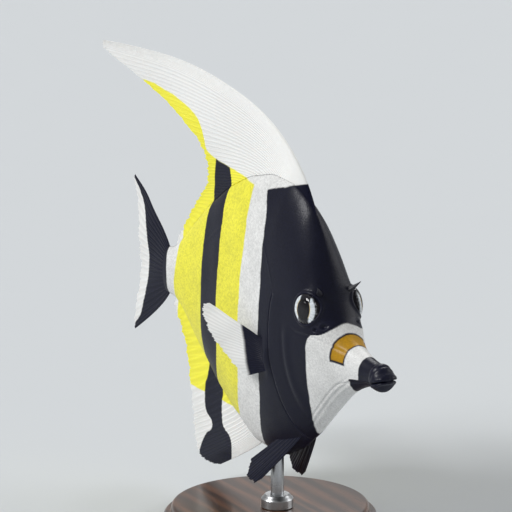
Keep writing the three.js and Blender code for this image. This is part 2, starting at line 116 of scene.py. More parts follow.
@dataclass(frozen=True)
class FishForm:
    """The body's shape in mm: a place is so far behind the snout's tip and so high above the level line.

    The outline, half width, widest level and flank power are those of the solids. A turn is an angle round
    the body, 0 at the left flank and a quarter turn at the back.
    """

    snout_x: float = 84.0
    level_z: float = 72.0
    length: float = 158.0
    tip: float = 0.4
    back: SmoothLine = SmoothLine(
        (0, 0.5), (0.7, 2.5), (2.6, 4.2), (5, 4.8), (7.6, 4.5), (11, 4.7), (20, 6.5), (27, 8.9), (32, 13.6),
        (36.4, 21.5), (41, 31.2), (47, 41.6), (53, 48.4), (60, 52.2), (68, 54.2), (78, 54.2), (92, 51),
        (108, 44), (124, 33.6), (138, 22), (148, 13), (153.5, 9.6), (158, 8.8),
    )
    belly: SmoothLine = SmoothLine(
        (0, -1), (0.9, -3.1), (3, -4.8), (5.6, -5.4), (8.6, -5), (12, -5.4), (18, -7.6), (26, -12), (38, -22),
        (50, -32.8), (62, -41), (76, -46), (90, -45.6), (106, -39.6), (122, -29.8), (136, -19),
        (147, -10.6), (153.5, -8.4), (158, -8.4),
    )
    half_width: SmoothLine = SmoothLine(
        (0, 1.6), (0.8, 3), (2.8, 4.2), (5.2, 4.5), (8.2, 4.1), (13, 4.3), (20, 5.1), (28, 7.2), (35, 9.7),
        (42, 11.1), (52, 12), (64, 12.4), (78, 11.9), (96, 10.2), (116, 7.7), (134, 5), (147, 3.3),
        (158, 2.3),
    )
    widest: SmoothLine = SmoothLine(
        (0, -0.2), (14, 0), (26, 1.2), (34, 5), (42, 9), (54, 8), (72, 3), (100, 0), (158, 0.2)
    )
    power: SmoothLine = SmoothLine(
        (0, 1), (24, 1.04), (40, 1.22), (60, 1.34), (100, 1.36), (140, 1.2), (158, 1.1)
    )

    def flank(self, behind: Array | float, high: Array | float) -> Array:
        """Half the body's width at a place of its outline.

        Args:
            behind: how far behind the snout's tip the place is.
            high: how far above the level line.

        Returns:
            The half width, in mm.
        """
        level = self.widest(behind)
        reach = np.where(high > level, self.back(behind) - level, level - self.belly(behind))
        rise = np.clip(np.abs(high - level) / reach, 0, 1)
        return self.half_width(behind) * (1 - rise * rise) ** (self.power(behind) / 2)

    def section(self, behind: Array, turn: Array) -> tuple[Array, Array]:
        """Where the bare form is at a turn of one of its sections.

        Args:
            behind: how far behind the snout's tip the section is cut.
            turn: how far round it the place is.

        Returns:
            How far to the side the place is, and how high.
        """
        level = self.widest(behind)
        rise, run = np.sin(turn), np.cos(turn)
        reach = np.where(rise > 0, self.back(behind) - level, level - self.belly(behind))
        side = np.sign(run) * np.abs(run) ** self.power(behind) * self.half_width(behind)
        return side, level + rise * reach

    def bare(self, behind: Array, turn: Array) -> tuple[Array, Array]:
        """Points of the bare form, and the way that it faces there.

        Args:
            behind: how far behind the snout's tip each lies.
            turn: how far round the section each lies.

        Returns:
            The points in the part's own frame, in mm, and their unit normals.
        """
        nudge, swing = 0.05, 0.01
        ahead = self.point(behind + nudge, *self.section(behind + nudge, turn))
        ahead -= self.point(behind - nudge, *self.section(behind - nudge, turn))
        round_it = self.point(behind, *self.section(behind, turn + swing))
        round_it -= self.point(behind, *self.section(behind, turn - swing))
        out = np.cross(ahead, round_it)
        out /= np.linalg.norm(out, axis=1)[:, None]
        return self.point(behind, *self.section(behind, turn)), out

    def point(self, behind: Array, side: Array, high: Array) -> Array:
        """A place on the fish in the part's own frame, in mm."""
        behind, side, high = np.broadcast_arrays(behind, side, high)
        return np.stack([self.snout_x - behind, side, self.level_z + high], axis=-1)

    def place(self, points: Array) -> tuple[Array, Array, Array]:
        """Behind, side and high of points in the part's own frame, in mm."""
        return self.snout_x - points[:, 0], points[:, 1], points[:, 2] - self.level_z

    def facing(self, behind: float, high: float, step: float, share: float) -> Array:
        """The way that something set in the left flank faces.

        Args:
            behind: its place behind the snout.
            high: its place above the level line.
            step: how far round it the flank's slope is taken.
            share: how much of that slope it follows.

        Returns:
            A unit vector in the part's own frame.
        """
        along = (self.flank(behind + step, high) - self.flank(behind - step, high)) * share / (2 * step)
        up = (self.flank(behind, high + step) - self.flank(behind, high - step)) * share / (2 * step)
        out = np.array([float(along), 1.0, -float(up)])
        return out / np.linalg.norm(out)


FORM = FishForm()
# A stretch is where something fades in and where it fades out again. A fold is how far off it lies, how wide
# it is and how high, less than 0 for a crease.
Stretch = tuple[Point, Point]
Fold = tuple[float, float, float]


def fade(place: Array, rise: Point, fall: Point) -> Array:
    """A share that rises from 0 to 1 over one part of a stretch and falls back to 0 over another."""
    return smoothstep(*rise, place) * (1 - smoothstep(*fall, place))


def folded(distance: Array, folds: tuple[Fold, ...]) -> Array:
    """The height of several folds together at a distance."""
    return sum(ridge(distance - at, width) * out for at, width, out in folds)


@dataclass(frozen=True)
class Mouth:
    """Two full, creased lips with a slit between them, and a fold behind them, in mm.

    The slit ends at the mouth's corner. Above the lips the muzzle is blunt, and the chin lies a little back.
    """

    corner: Point = (7.6, -2.6)
    corner_fade: Point = (-1.6, 0.5)
    slope: float = -0.316
    lip_out: float = 0.28
    lip_apart: float = 0.95
    lip_width: float = 0.8
    slit_depth: float = 1.0
    slit_width: float = 0.24
    crease: float = 0.035
    crease_apart: float = 0.8
    creases: float = 26.0
    crease_bend: float = 0.5
    crease_waves: float = 3.0
    fold_behind: float = 5.8
    fold_depth: float = 0.24
    fold_width: float = 0.8
    fold_curve: float = 0.06
    fold_from: Point = (0.9, 2.2)
    blunt: float = 0.75
    blunt_behind: float = 1.6
    blunt_reach: float = 2.0
    blunt_from: Point = (1.0, 3.6)
    chin_back: float = 0.7
    chin_reach: Point = (0.4, 3.0)
    chin_from: Point = (0.4, 1.6)

    def above(self, behind: Array, high: Array) -> Array:
        """How far above the mouth's line a place lies."""
        return high - self.corner[1] - self.slope * (behind - self.corner[0])

    def height(self, behind: Array, side: Array, high: Array) -> Array:
        """How far the lips and the skin round them stand out.

        Args:
            behind: how far behind the snout's tip each place lies.
            side: how far to the side.
            high: how far above the level line.

        Returns:
            The height at each place, less than 0 where the skin is sunk.
        """
        apart = self.above(behind, high)
        from_slit = np.abs(apart)
        lips = ridge(from_slit - self.lip_apart, self.lip_width) * self.lip_out
        slit = ridge(apart, self.slit_width) * self.slit_depth
        first, last = (self.corner[0] + step for step in self.corner_fade)
        ends = 1 - smoothstep(first, last, behind)
        round_tip = np.arctan2(side, self.fold_behind - behind)
        bend = np.sin(apart * self.crease_waves) * self.crease_bend
        on_lip = ridge(from_slit - self.crease_apart, self.crease_apart)
        creases = np.cos(round_tip * self.creases + bend) * on_lip * self.crease
        curved = behind - self.fold_behind + self.fold_curve * apart * apart
        fold = ridge(curved, self.fold_width) * self.fold_depth * smoothstep(*self.fold_from, from_slit)
        snub = ridge(behind - self.blunt_behind, self.blunt_reach) * smoothstep(*self.blunt_from, apart)
        chin = (1 - smoothstep(*self.chin_reach, behind)) * smoothstep(*self.chin_from, -apart)
        return (lips - slit + creases) * ends - fold - snub * self.blunt - chin * self.chin_back


@dataclass(frozen=True)
class EyeSocket:
    """A round socket with a raised rim in each side of the head, in mm."""

    place: Point = (41.2, 16.6)
    turn: float = 0.5
    radius: float = 4.9
    depth: float = 1.6
    wall: Point = (-0.5, 0.3)
    rim_radius: float = 5.7
    rim_width: float = 0.6
    rim_out: float = 0.62

    def axis(self) -> tuple[Array, Array]:
        """The left socket's middle and its aim.

        Returns:
            The middle on the bare flank, in mm in the part's own frame, and the way that the eye faces.
        """
        behind, high = self.place
        centre = FORM.point(behind, FORM.flank(behind, high), high)
        return centre, FORM.facing(behind, high, self.radius, self.turn)

    def away(self, points: Array) -> Array:
        """How far points lie from the axis of the eye on their own side.

        Args:
            points: points in the part's own frame.

        Returns:
            The distance of each.
        """
        centre, out = self.axis()
        mirrored = points * [1, 0, 1] + np.abs(points) * [0, 1, 0] - centre
        along = mirrored @ out
        return np.linalg.norm(mirrored - along[:, None] * out, axis=1)

    def height(self, points: Array) -> Array:
        """How far the rim stands out and the socket is sunk.

        Args:
            points: points in the part's own frame.

        Returns:
            The height at each point.
        """
        away = self.away(points)
        rim = ridge(away - self.rim_radius, self.rim_width) * self.rim_out
        inner, outer = (self.radius + step for step in self.wall)
        return rim - (1 - smoothstep(inner, outer, away)) * self.depth


@dataclass(frozen=True)
class GillCover:
    """The gill cover's raised rear edge, the groove of the opening behind it and the cheek's ridge, in mm.

    The edge and the cheek's ridge are arcs round one centre, stretched upwards.
    """

    centre: Point = (17.5, 1.0)
    radius: float = 46.0
    stretch: float = 1.25
    opening: Stretch = ((-36.0, -28.0), (13.0, 19.0))
    lid_out: float = 0.42
    lid_step: Point = (-0.25, 0.3)
    lid_slope: float = 7.0
    lid_margin: float = 1.35
    groove_width: float = 0.8
    groove_depth: float = 0.75
    cheek_radius: float = 34.5
    cheek_folds: tuple[Fold, ...] = ((0, 2.2, 0.26), (2.6, 1.2, -0.14))
    cheek_ends: Stretch = ((-27.0, -14.0), (2.0, 11.0))

    def gap(self, behind: Array, high: Array) -> Array:
        """The distance behind the gill cover's rear edge, less than 0 on the cover."""
        across = (high - self.centre[1]) / self.stretch
        return np.hypot(behind - self.centre[0], across) - self.radius

    def reach(self, high: Array) -> Array:
        """1 where the gill opening is cut in, fading to 0 past its two ends."""
        return fade(high, *self.opening)

    def height(self, behind: Array, high: Array) -> Array:
        """How far the cover and the cheek stand out.

        Args:
            behind: how far behind the snout's tip each place lies.
            high: how far above the level line.

        Returns:
            The height at each place, less than 0 in the groove.
        """
        gap = self.gap(behind, high)
        middle = self.groove_width / 2
        lid = self.lid_out * (1 - smoothstep(*self.lid_step, gap)) * ridge(np.minimum(gap, 0), self.lid_slope)
        groove = ridge(gap - middle, middle) * self.groove_depth
        cheek = folded(gap + self.radius - self.cheek_radius, self.cheek_folds)
        return (lid - groove) * self.reach(high) + cheek * fade(high, *self.cheek_ends)


@dataclass(frozen=True)
class RoundRelief:
    """What is raised or sunk round a place on each side, in mm, with its folds in shares of its reach."""

    place: Point
    reach: Point
    folds: tuple[Fold, ...]

    def away(self, behind: Array, high: Array) -> Array:
        """How far places lie from its middle, as a share of its reach along and up."""
        return np.hypot((behind - self.place[0]) / self.reach[0], (high - self.place[1]) / self.reach[1])

    def height(self, behind: Array, high: Array) -> Array:
        """How far the skin stands out at each place."""
        return folded(self.away(behind, high), self.folds)


@dataclass(frozen=True)
class LineRelief:
    """What is raised or sunk along a line of the body, from one place to another, in mm."""

    line: SmoothLine
    folds: tuple[Fold, ...]
    along: Stretch

    def height(self, behind: Array, high: Array) -> Array:
        """How far the skin stands out at each place."""
        return folded(high - self.line(behind), self.folds) * fade(behind, *self.along)


@dataclass(frozen=True)
class Throat:
    """The fine rays in the skin of the throat, along the belly's edge, in mm."""

    ray: float = 1.9
    rise: float = 0.11
    up: Stretch = ((0.3, 1.2), (4.5, 7.0))
    along: Stretch = ((18.0, 24.0), (42.0, 52.0))

    def height(self, behind: Array, high: Array) -> Array:
        """How far the rays stand out at each place, less than 0 between them."""
        low = high - FORM.belly(behind)
        return np.sin(low * math.tau / self.ray) * self.rise * fade(low, *self.up) * fade(behind, *self.along)


@dataclass(frozen=True)
class Muscle:
    """The soft swell of the flank's muscle, in mm.

    It is two crossed waves, each given by its turn in radians for a mm behind and for a mm up.
    """

    rise: float = 0.12
    waves: tuple[Point, Point] = ((0.31, 0.11), (-0.05, 0.19))
    along: Stretch = ((60.0, 80.0), (130.0, 150.0))

    def height(self, behind: Array, high: Array) -> Array:
        """How far the muscle stands out at each place."""
        first, second = (np.sin(behind * along + high * up) for along, up in self.waves)
        return first * second * self.rise * fade(behind, *self.along)


# A pit with a thin raised rim.
NOSTRIL = ((0, 1, -0.8), (1.5, 0.7, 0.11))


@dataclass(frozen=True)
class Relief:
    """What the skin raises and sinks on the bare form, in mm.

    Under the scales the skin lies lower by their depth, so that their tops meet the bare form.
    """

    mouth: Mouth = Mouth()
    socket: EyeSocket = EyeSocket()
    gill: GillCover = GillCover()
    nostrils: tuple[RoundRelief, ...] = (
        RoundRelief((33.6, 11.8), (0.72, 0.72), NOSTRIL), RoundRelief((36.0, 10.4), (0.58, 0.58), NOSTRIL),
    )
    brow: RoundRelief = RoundRelief((38.6, 22.2), (3.2, 3.2), ((0, 1, 0.55),))
    jaw_fold: LineRelief = LineRelief(
        SmoothLine((7, -2.6), (12, -3.6), (18, -4.6), (24, -6.4), (30, -9.4)),
        folds=((0, 0.4, -0.22), (0.7, 0.7, 0.1)), along=((7, 9), (24, 30)),
    )
    eye_fold: LineRelief = LineRelief(
        SmoothLine((20, 4.4), (28, 5.6), (34, 7.2), (40, 7.6), (46, 7.4), (50, 8.4)),
        folds=((0, 0.5, -0.16), (0.9, 0.9, 0.12)), along=((20, 25), (44, 50)),
    )
    throat: Throat = Throat()
    fin_root: RoundRelief = RoundRelief((65.6, -7.0), (2.4, 5.4), ((0, 1, 0.9),))
    lateral_line: LineRelief = LineRelief(
        SmoothLine(
            (58, 13), (64, 23), (74, 33), (88, 36.5), (104, 31), (120, 20.5), (134, 10.5), (146, 3.2),
            (158, 1),
        ),
        folds=((0, 0.8, 0.07),), along=((60, 66), (146, 154)),
    )
    muscle: Muscle = Muscle()
    coat: float = 0.32
    coat_start: Point = (6.0, 8.0)

    def height(self, points: Array) -> Array:
        """How far the skin stands out of the bare form.

        Args:
            points: points on the form, in mm in the part's own frame.

        Returns:
            The height at each point, less than 0 where the skin is sunk.
        """
        behind, side, high = FORM.place(points)
        out = self.mouth.height(behind, side, high) + self.socket.height(points)
        for feature in (
            self.gill, *self.nostrils, self.brow, self.jaw_fold, self.eye_fold, self.throat, self.fin_root,
            self.lateral_line, self.muscle,
        ):
            out += feature.height(behind, high)
        return out - self.coat * smoothstep(*self.coat_start, behind)


RELIEF = Relief()


def linear(colour: str) -> tuple[float, float, float, float]:
    """Turns an sRGB hex colour to linear.

    Args:
        colour: the colour, as a hash sign and six hex digits.

    Returns:
        Its linear red, green and blue, and an alpha of 1.
    """
    shares = [int(colour[i : i + 2], 16) / 255 for i in (1, 3, 5)]
    red, green, blue = (
        share / 12.92 if share <= 0.04045 else ((share + 0.055) / 1.055) ** 2.4 for share in shares
    )
    return red, green, blue, 1.0


def feed(tree: Tree, made: bpy.types.Node, inputs: dict) -> None:
    """Fills a node's sockets.

    Args:
        tree: the node tree that it is in.
        made: the node.
        inputs: by name or number, a value for the socket, or another node's output to link to it.
    """
    for name, value in inputs.items():
        if isinstance(value, Socket):
            tree.links.new(value, made.inputs[name])
        else:
            made.inputs[name].default_value = value


def node(
    tree: Tree, kind: str, settings: dict | None = None, inputs: dict | None = None
) -> bpy.types.Node:
    """Adds a node with its settings and links.

    Args:
        tree: the node tree that it joins.
        kind: its type, without the word that all shader nodes start with.
        settings: its own properties, by name.
        inputs: what fills its sockets, by name or number.

    Returns:
        The new node.
    """
    made = tree.nodes.new(kind if kind.startswith("Node") else "ShaderNode" + kind)
    for name, value in (settings or {}).items():
        setattr(made, name, value)
    feed(tree, made, inputs or {})
    return made


def repeats(size_mm: float) -> float:
    """How many times a pattern of a size in mm repeats in a metre."""
    return 1 / (size_mm * MM)


# A Mix node's sockets share their names, so these are their numbers, for two colours and for two vectors.
MIX_UNDER, MIX_OVER, MIX_COLOUR = 6, 7, 2
MIX_FROM, MIX_TO, MIX_VECTOR = 4, 5, 1
# The length in metres of one wave of a wave texture whose scale is 1.
WAVE_LENGTH = math.tau / 20


class Across(Enum):
    """The way that a patch's edge is measured: along the fish or up it."""

    BEHIND = "behind"
    HIGH = "high"


@dataclass(frozen=True)
class Edge:
    """One edge of a patch: the value of one coordinate, in mm, at points of the other.

    A patch lies beyond its low edges and short of its other ones.
    """

    across: Across
    low: bool
    points: tuple[Point, ...]


def behind_edge(low: bool, *points: Point) -> Edge:
    """An edge that runs up the fish: how far behind it lies at each height."""
    return Edge(Across.BEHIND, low, points)


def high_edge(low: bool, *points: Point) -> Edge:
    """An edge that runs along the fish: how high it lies at each place behind the snout."""
    return Edge(Across.HIGH, low, points)


@dataclass(frozen=True)
class Patch:
    """One patch of colour on the fish, inside all of its edges."""

    colour: str
    edges: tuple[Edge, ...]
    soft: float = 0.3


WHITE = "#ECECEA"
YELLOW = "#F7F048"
BLUE_BLACK = "#0F1124"
GOLD = "#BC8C17"
ABOVE_YELLOW = (
    (92, 47.8), (114, 48.2), (124, 49), (128.4, 50.2), (130.2, 53.8), (132.8, 58.4), (137.6, 61.6),
    (147.2, 63.6), (159, 64.6), (170, 65), (178, 64.4), (184, 63.2),
)


@dataclass(frozen=True)
class Markings:
    """The bands and patches that skin, scales and fins share, painted in order over a ground colour.

    The group that it makes takes a place in metres and gives the colour there. Each patch's edge wanders a
    little, as real ones do.
    """

    name: str = "body_markings"
    ground: str = WHITE
    wander: float = 0.5
    wander_size: float = 5.0
    patches: tuple[Patch, ...] = (
        Patch(YELLOW, (
            behind_edge(
                True, (-40, 101), (-30, 95), (-16, 90), (0, 87.6), (10, 87.1), (23, 87), (40, 89), (48, 91),
                (56, 93),
            ),
            behind_edge(
                False, (-38, 152), (-15, 150), (-7, 149), (0, 147.5), (8, 146.6), (16, 147), (26, 148),
                (36, 152), (50, 196),
            ),
            high_edge(True, (90, -37.2), (104, -37.6), (140, -37.4)),
            high_edge(False, *ABOVE_YELLOW),
        )),
        Patch(BLUE_BLACK, (
            behind_edge(
                True, (-64, 112), (-55, 111), (-50.5, 112), (-47.5, 116.5), (-44, 118.6), (-35, 117.4),
                (-22, 112), (-11, 108.7), (3, 107.2), (17, 107), (25, 107.8), (38, 110.5), (50, 113.8),
                (54, 115),
            ),
            behind_edge(
                False, (-64, 137), (-57, 133.6), (-52, 129.6), (-48, 126), (-45, 129.4), (-40, 130.4),
                (-30, 128), (-15, 124), (0, 122), (13, 122), (28, 123.6), (38, 124.4), (50, 122.6), (56, 121),
            ),
            high_edge(False, *ABOVE_YELLOW),
        )),
        Patch(BLUE_BLACK, (
            behind_edge(
                True, (-46, 57), (-36, 51), (-28, 47.2), (-15, 43.2), (-2, 40.9), (5, 39.8), (7.6, 38.2),
                (9, 33.4), (11, 31.8), (16, 31),
            ),
            behind_edge(
                False, (-58, 94), (-50, 88), (-43, 84), (-30, 77.4), (-15, 73), (0, 71.5), (13, 70.8),
                (27, 72), (40, 74.6), (49, 79), (58, 83),
            ),
            high_edge(False, (46, 59.6), (62, 54.7), (80, 49)),
        )),
        Patch(BLUE_BLACK, (
            behind_edge(False, (-12, 23), (-7.5, 21.6), (-4, 20.6), (-2.9, 15.2), (0, 14.3), (8, 14.6)),
        )),
        Patch(BLUE_BLACK, (
            behind_edge(True, (-2, 21.7), (5, 22.3), (12, 20.2)),
            behind_edge(False, (-2, 27.9), (5, 29), (12, 28)),
            high_edge(True, (20, 0.4), (30, 0.4)),
        )),
        Patch(GOLD, (
            behind_edge(True, (-2, 22.3), (5, 22.9), (12, 20.8)),
            behind_edge(False, (-2, 27.2), (5, 28.3), (12, 27.4)),
            high_edge(True, (20, 1.3), (30, 1.3)),
        )),
        Patch(BLUE_BLACK, (
            behind_edge(True, (-12, 155.8), (-8, 155.5), (0, 154.4), (8, 155.5), (12, 155.8)),
            high_edge(False, (150, 40), (190, 40)),
        )),
        Patch(WHITE, (
            behind_edge(
                True, (-30, 186), (-25.5, 181), (-21, 176.8), (-15, 174.2), (-8, 172.2), (0, 171.4), (8, 172),
                (17, 173.8), (23, 177.2), (27.5, 181), (32, 186),
            ),
            high_edge(False, (150, 40), (190, 40)),
        )),
    )

    def distance(self, tree: Tree, edge: Edge, behind: Socket, high: Socket) -> Socket:
        """How far a place lies inside one edge, in mm.

        Args:
            tree: the group's node tree.
            edge: the edge.
            behind: the place behind the snout, in mm.
            high: the place above the level line, in mm.

        Returns:
            The output that holds the distance.
        """
        along, value = (high, behind) if edge.across is Across.BEHIND else (behind, high)
        places = [point[0] for point in edge.points]
        values = [point[1] for point in edge.points]
        start, span = min(places), max(places) - min(places)
        least, reach = min(values), max(max(values) - min(values), 0.001)
        share = node(tree, "MapRange", {}, {"Value": along, "From Min": start, "From Max": start + span})
        curve = node(tree, "FloatCurve", {}, {"Value": share.outputs[0]})
        points = curve.mapping.curves[0].points
        for i, (place, height) in enumerate(edge.points):
            spot = ((place - start) / span, (height - least) / reach)
            if i < 2:
                points[i].location = spot
            else:
                points.new(*spot)
        curve.mapping.update()
        limits = {"Value": curve.outputs[0], "To Min": least, "To Max": least + reach}
        line = node(tree, "MapRange", {}, limits).outputs[0]
        ends = (value, line) if edge.low else (line, value)
        return node(tree, "Math", {"operation": "SUBTRACT"}, {0: ends[0], 1: ends[1]}).outputs[0]

    def place_on_fish(self, tree: Tree) -> tuple[Socket, Socket]:
        """Reads the place from the group's input and lets it wander a little.

        Args:
            tree: the group's node tree.

        Returns:
            How far behind the snout's tip it lies and how far above the level line, in mm.
        """
        start = node(tree, "NodeGroupInput").outputs[0]
        scaled = node(tree, "VectorMath", {"operation": "SCALE"}, {0: start, "Scale": 1 / MM}).outputs[0]
        grain = {"Vector": scaled, "Scale": 1 / self.wander_size, "Detail": 3.0}
        rough = node(tree, "TexNoise", {}, grain).outputs["Color"]
        centred = node(tree, "VectorMath", {"operation": "SUBTRACT"}, {0: rough, 1: (0.5, 0.5, 0.5)})
        by = {0: centred.outputs[0], "Scale": 2 * self.wander}
        shift = node(tree, "VectorMath", {"operation": "SCALE"}, by).outputs[0]
        moved = node(tree, "VectorMath", {"operation": "ADD"}, {0: scaled, 1: shift}).outputs[0]
        apart = node(tree, "SeparateXYZ", {}, {0: moved}).outputs
        behind = node(tree, "Math", {"operation": "SUBTRACT"}, {0: FORM.snout_x, 1: apart["X"]})
        high = node(tree, "Math", {"operation": "SUBTRACT"}, {0: apart["Z"], 1: FORM.level_z})
        return behind.outputs[0], high.outputs[0]

    def build(self) -> Tree:
        """Makes the node group.

        Returns:
            The group, with a place in and a colour out.
        """
        tree = bpy.data.node_groups.new(self.name, "ShaderNodeTree")
        tree.interface.new_socket("Place", in_out="INPUT", socket_type="NodeSocketVector")
        tree.interface.new_socket("Colour", in_out="OUTPUT", socket_type="NodeSocketColor")
        behind, high = self.place_on_fish(tree)
        colour = node(tree, "RGB")
        colour.outputs[0].default_value = linear(self.ground)
        painted = colour.outputs[0]
        for patch in self.patches:
            inside = self.distance(tree, patch.edges[0], behind, high)
            for edge in patch.edges[1:]:
                other = self.distance(tree, edge, behind, high)
                inside = node(tree, "Math", {"operation": "MINIMUM"}, {0: inside, 1: other}).outputs[0]
            limits = {"Value": inside, "From Min": -patch.soft, "From Max": patch.soft}
            mask = node(tree, "MapRange", {"interpolation_type": "SMOOTHSTEP"}, limits).outputs[0]
            layers = {"Factor": mask, MIX_UNDER: painted, MIX_OVER: linear(patch.colour)}
            painted = node(tree, "Mix", {"data_type": "RGBA"}, layers).outputs[MIX_COLOUR]
        node(tree, "NodeGroupOutput", {}, {0: painted})
        return tree


class PlaceFrom(Enum):
    """Where a finish reads the place that it paints."""

    SURFACE = "surface"
    ROOT = "root"


def bump(tree: Tree, height: Socket, depth_mm: float, strength: float) -> Socket:
    """A bump of a real depth from a height between 0 and 1, as a normal."""
    settings = {"Height": height, "Distance": depth_mm * MM, "Strength": strength}
    return node(tree, "Bump", {}, settings).outputs[0]


def shaded(tree: Tree, colour: Socket, share: Socket) -> Socket:
    """Makes a colour darker or lighter from place to place.

    Args:
        tree: the node tree.
        colour: the colour.
        share: how much of its light is left, 1 for all of it.

    Returns:
        The output that holds the new colour.
    """
    grey = node(tree, "CombineXYZ", {}, {0: share, 1: share, 2: share}).outputs[0]
    settings = {"data_type": "RGBA", "blend_type": "MULTIPLY"}
    layers = {"Factor": 1.0, MIX_UNDER: colour, MIX_OVER: grey}
    return node(tree, "Mix", settings, layers).outputs[MIX_COLOUR]


def new_material(name: str) -> tuple[Material, Tree, bpy.types.Node]:
    """Starts a material.

    Args:
        name: what the real one is.

    Returns:
        The material, its node tree and its shader.
    """
    material = bpy.data.materials.new(name)
    material.use_nodes = True
    tree = material.node_tree
    shader = next(made for made in tree.nodes if made.type == "BSDF_PRINCIPLED")
    return material, tree, shader


@dataclass(frozen=True)
class GrainedFinish:
    """A finish of one colour, whose fine grain makes its shine uneven, as on the real material.

    The grain may be drawn out, by the share of its repeats that is left along each axis, and may be a bump.
    """

    name: str
    colour: str
    grain_mm: float
    roughness: Point
    drawn_out: tuple[float, float, float] = (1.0, 1.0, 1.0)
    detail: float = 3.0
    depth_mm: float = 0.0
    strength: float = 0.5
    metallic: float = 0.0

    def build(self) -> Material:
        """Makes the material.

        Returns:
            The material.
        """
        material, tree, shader = new_material(self.name)
        place = node(tree, "TexCoord").outputs["Object"]
        drawn = node(tree, "Mapping", {}, {"Vector": place, "Scale": self.drawn_out}).outputs[0]
        pattern = {"Vector": drawn, "Scale": repeats(self.grain_mm), "Detail": self.detail}
        grain = node(tree, "TexNoise", {}, pattern).outputs["Fac"]
        smoothest, roughest = self.roughness
        limits = {"Value": grain, "To Min": smoothest, "To Max": roughest}
        feed(tree, shader, {
            "Base Color": linear(self.colour),
            "Metallic": self.metallic,
            "Roughness": node(tree, "MapRange", {}, limits).outputs[0],
        })
        if self.depth_mm:
            feed(tree, shader, {"Normal": bump(tree, grain, self.depth_mm, self.strength)})
        return material


# How far red, green and blue light spread in fish skin: nearly alike, since there is little blood in it.
PALE_FLESH = (1.0, 0.85, 0.75)


@dataclass(frozen=True)
class ScaledSkin:
    """Fish skin: pigment cells under thin, clear, ridged scales, wet with slime.

    To the eye it is a satin surface with a soft, broken shine, a little mottled, and finely rough close up.
    """

    markings: Tree
    place: PlaceFrom
    name: str = "wet_scaled_skin"
    roughness: float = 0.42
    specular: float = 0.15
    coat: float = 0.14
    coat_roughness: float = 0.2
    grain_mm: float = 0.35
    grain_depth_mm: float = 0.05
    mottle_mm: float = 9.0
    mottled: Point = (0.93, 1.03)
    drier: Point = (-0.08, 0.1)
    root_share: float = 0.3
    # Painted shade: each scale's colour darkens towards its root, where it tucks under the row before.
    root_dark: float = 0.78
    root_reach: Point = (0.3, 0.75)
    flesh: float = 0.08
    flesh_depth_mm: float = 0.8

    def tone(self, tree: Tree) -> Socket:
        """How light each place of a scale is: its own random tone, times painted shade where its root lies
        under the last row.

        Args:
            tree: the material's node tree.

        Returns:
            The output that holds the share of light.
        """
        own = node(tree, "Attribute", {"attribute_name": "tone"}).outputs["Fac"]
        reach = node(tree, "Attribute", {"attribute_name": "reach"}).outputs["Fac"]
        painted_shade_until, unshaded_from = self.root_reach
        limits = {"Value": reach, "From Min": painted_shade_until, "From Max": unshaded_from, "To Min": self.root_dark}
        root_shade = node(tree, "MapRange", {}, limits).outputs[0]
        return node(tree, "Math", {"operation": "MULTIPLY"}, {0: own, 1: root_shade}).outputs[0]

    def build(self) -> Material:
        """Makes the material, with the markings read at the surface or partly at each scale's root.

        Returns:
            The material.
        """
        material, tree, shader = new_material(f"{self.name}_{self.place.value}")
        place = surface = node(tree, "TexCoord").outputs["Object"]
        if self.place is PlaceFrom.ROOT:
            root = node(tree, "Attribute", {"attribute_name": "root"}).outputs["Vector"]
            ends = {"Factor": self.root_share, MIX_FROM: surface, MIX_TO: root}
            place = node(tree, "Mix", {"data_type": "VECTOR"}, ends).outputs[MIX_VECTOR]
        painted = node(tree, "Group", {"node_tree": self.markings}, {0: place}).outputs[0]
        mottle = {"Vector": surface, "Scale": repeats(self.mottle_mm), "Detail": 4.0}
        mottled = node(tree, "TexNoise", {}, mottle).outputs["Fac"]
        least, most = self.mottled
        limits = {"Value": mottled, "From Min": 0.3, "From Max": 0.7, "To Min": least, "To Max": most}
        shade = node(tree, "MapRange", {}, limits).outputs[0]
        # On the scales the mottle is also multiplied by each scale's random tone and by the painted shade at
        # its root.
        if self.place is PlaceFrom.ROOT:
            shade = node(tree, "Math", {"operation": "MULTIPLY"}, {0: shade, 1: self.tone(tree)}).outputs[0]
        grain = {"Vector": surface, "Scale": repeats(self.grain_mm), "Detail": 2.0}
        rough = node(tree, "TexNoise", {}, grain).outputs["Fac"]
        wettest, driest = (self.roughness + step for step in self.drier)
        wet = {"Value": mottled, "To Min": wettest, "To Max": driest}
        feed(tree, shader, {
            "Base Color": shaded(tree, painted, shade),
            "Normal": bump(tree, rough, self.grain_depth_mm, 0.5),
            "Roughness": node(tree, "MapRange", {}, wet).outputs[0],
            "Specular IOR Level": self.specular,
            "Coat Weight": self.coat,
            "Coat Roughness": self.coat_roughness,
            "Subsurface Weight": self.flesh,
            "Subsurface Radius": PALE_FLESH,
            "Subsurface Scale": self.flesh_depth_mm * MM,
        })
        return material


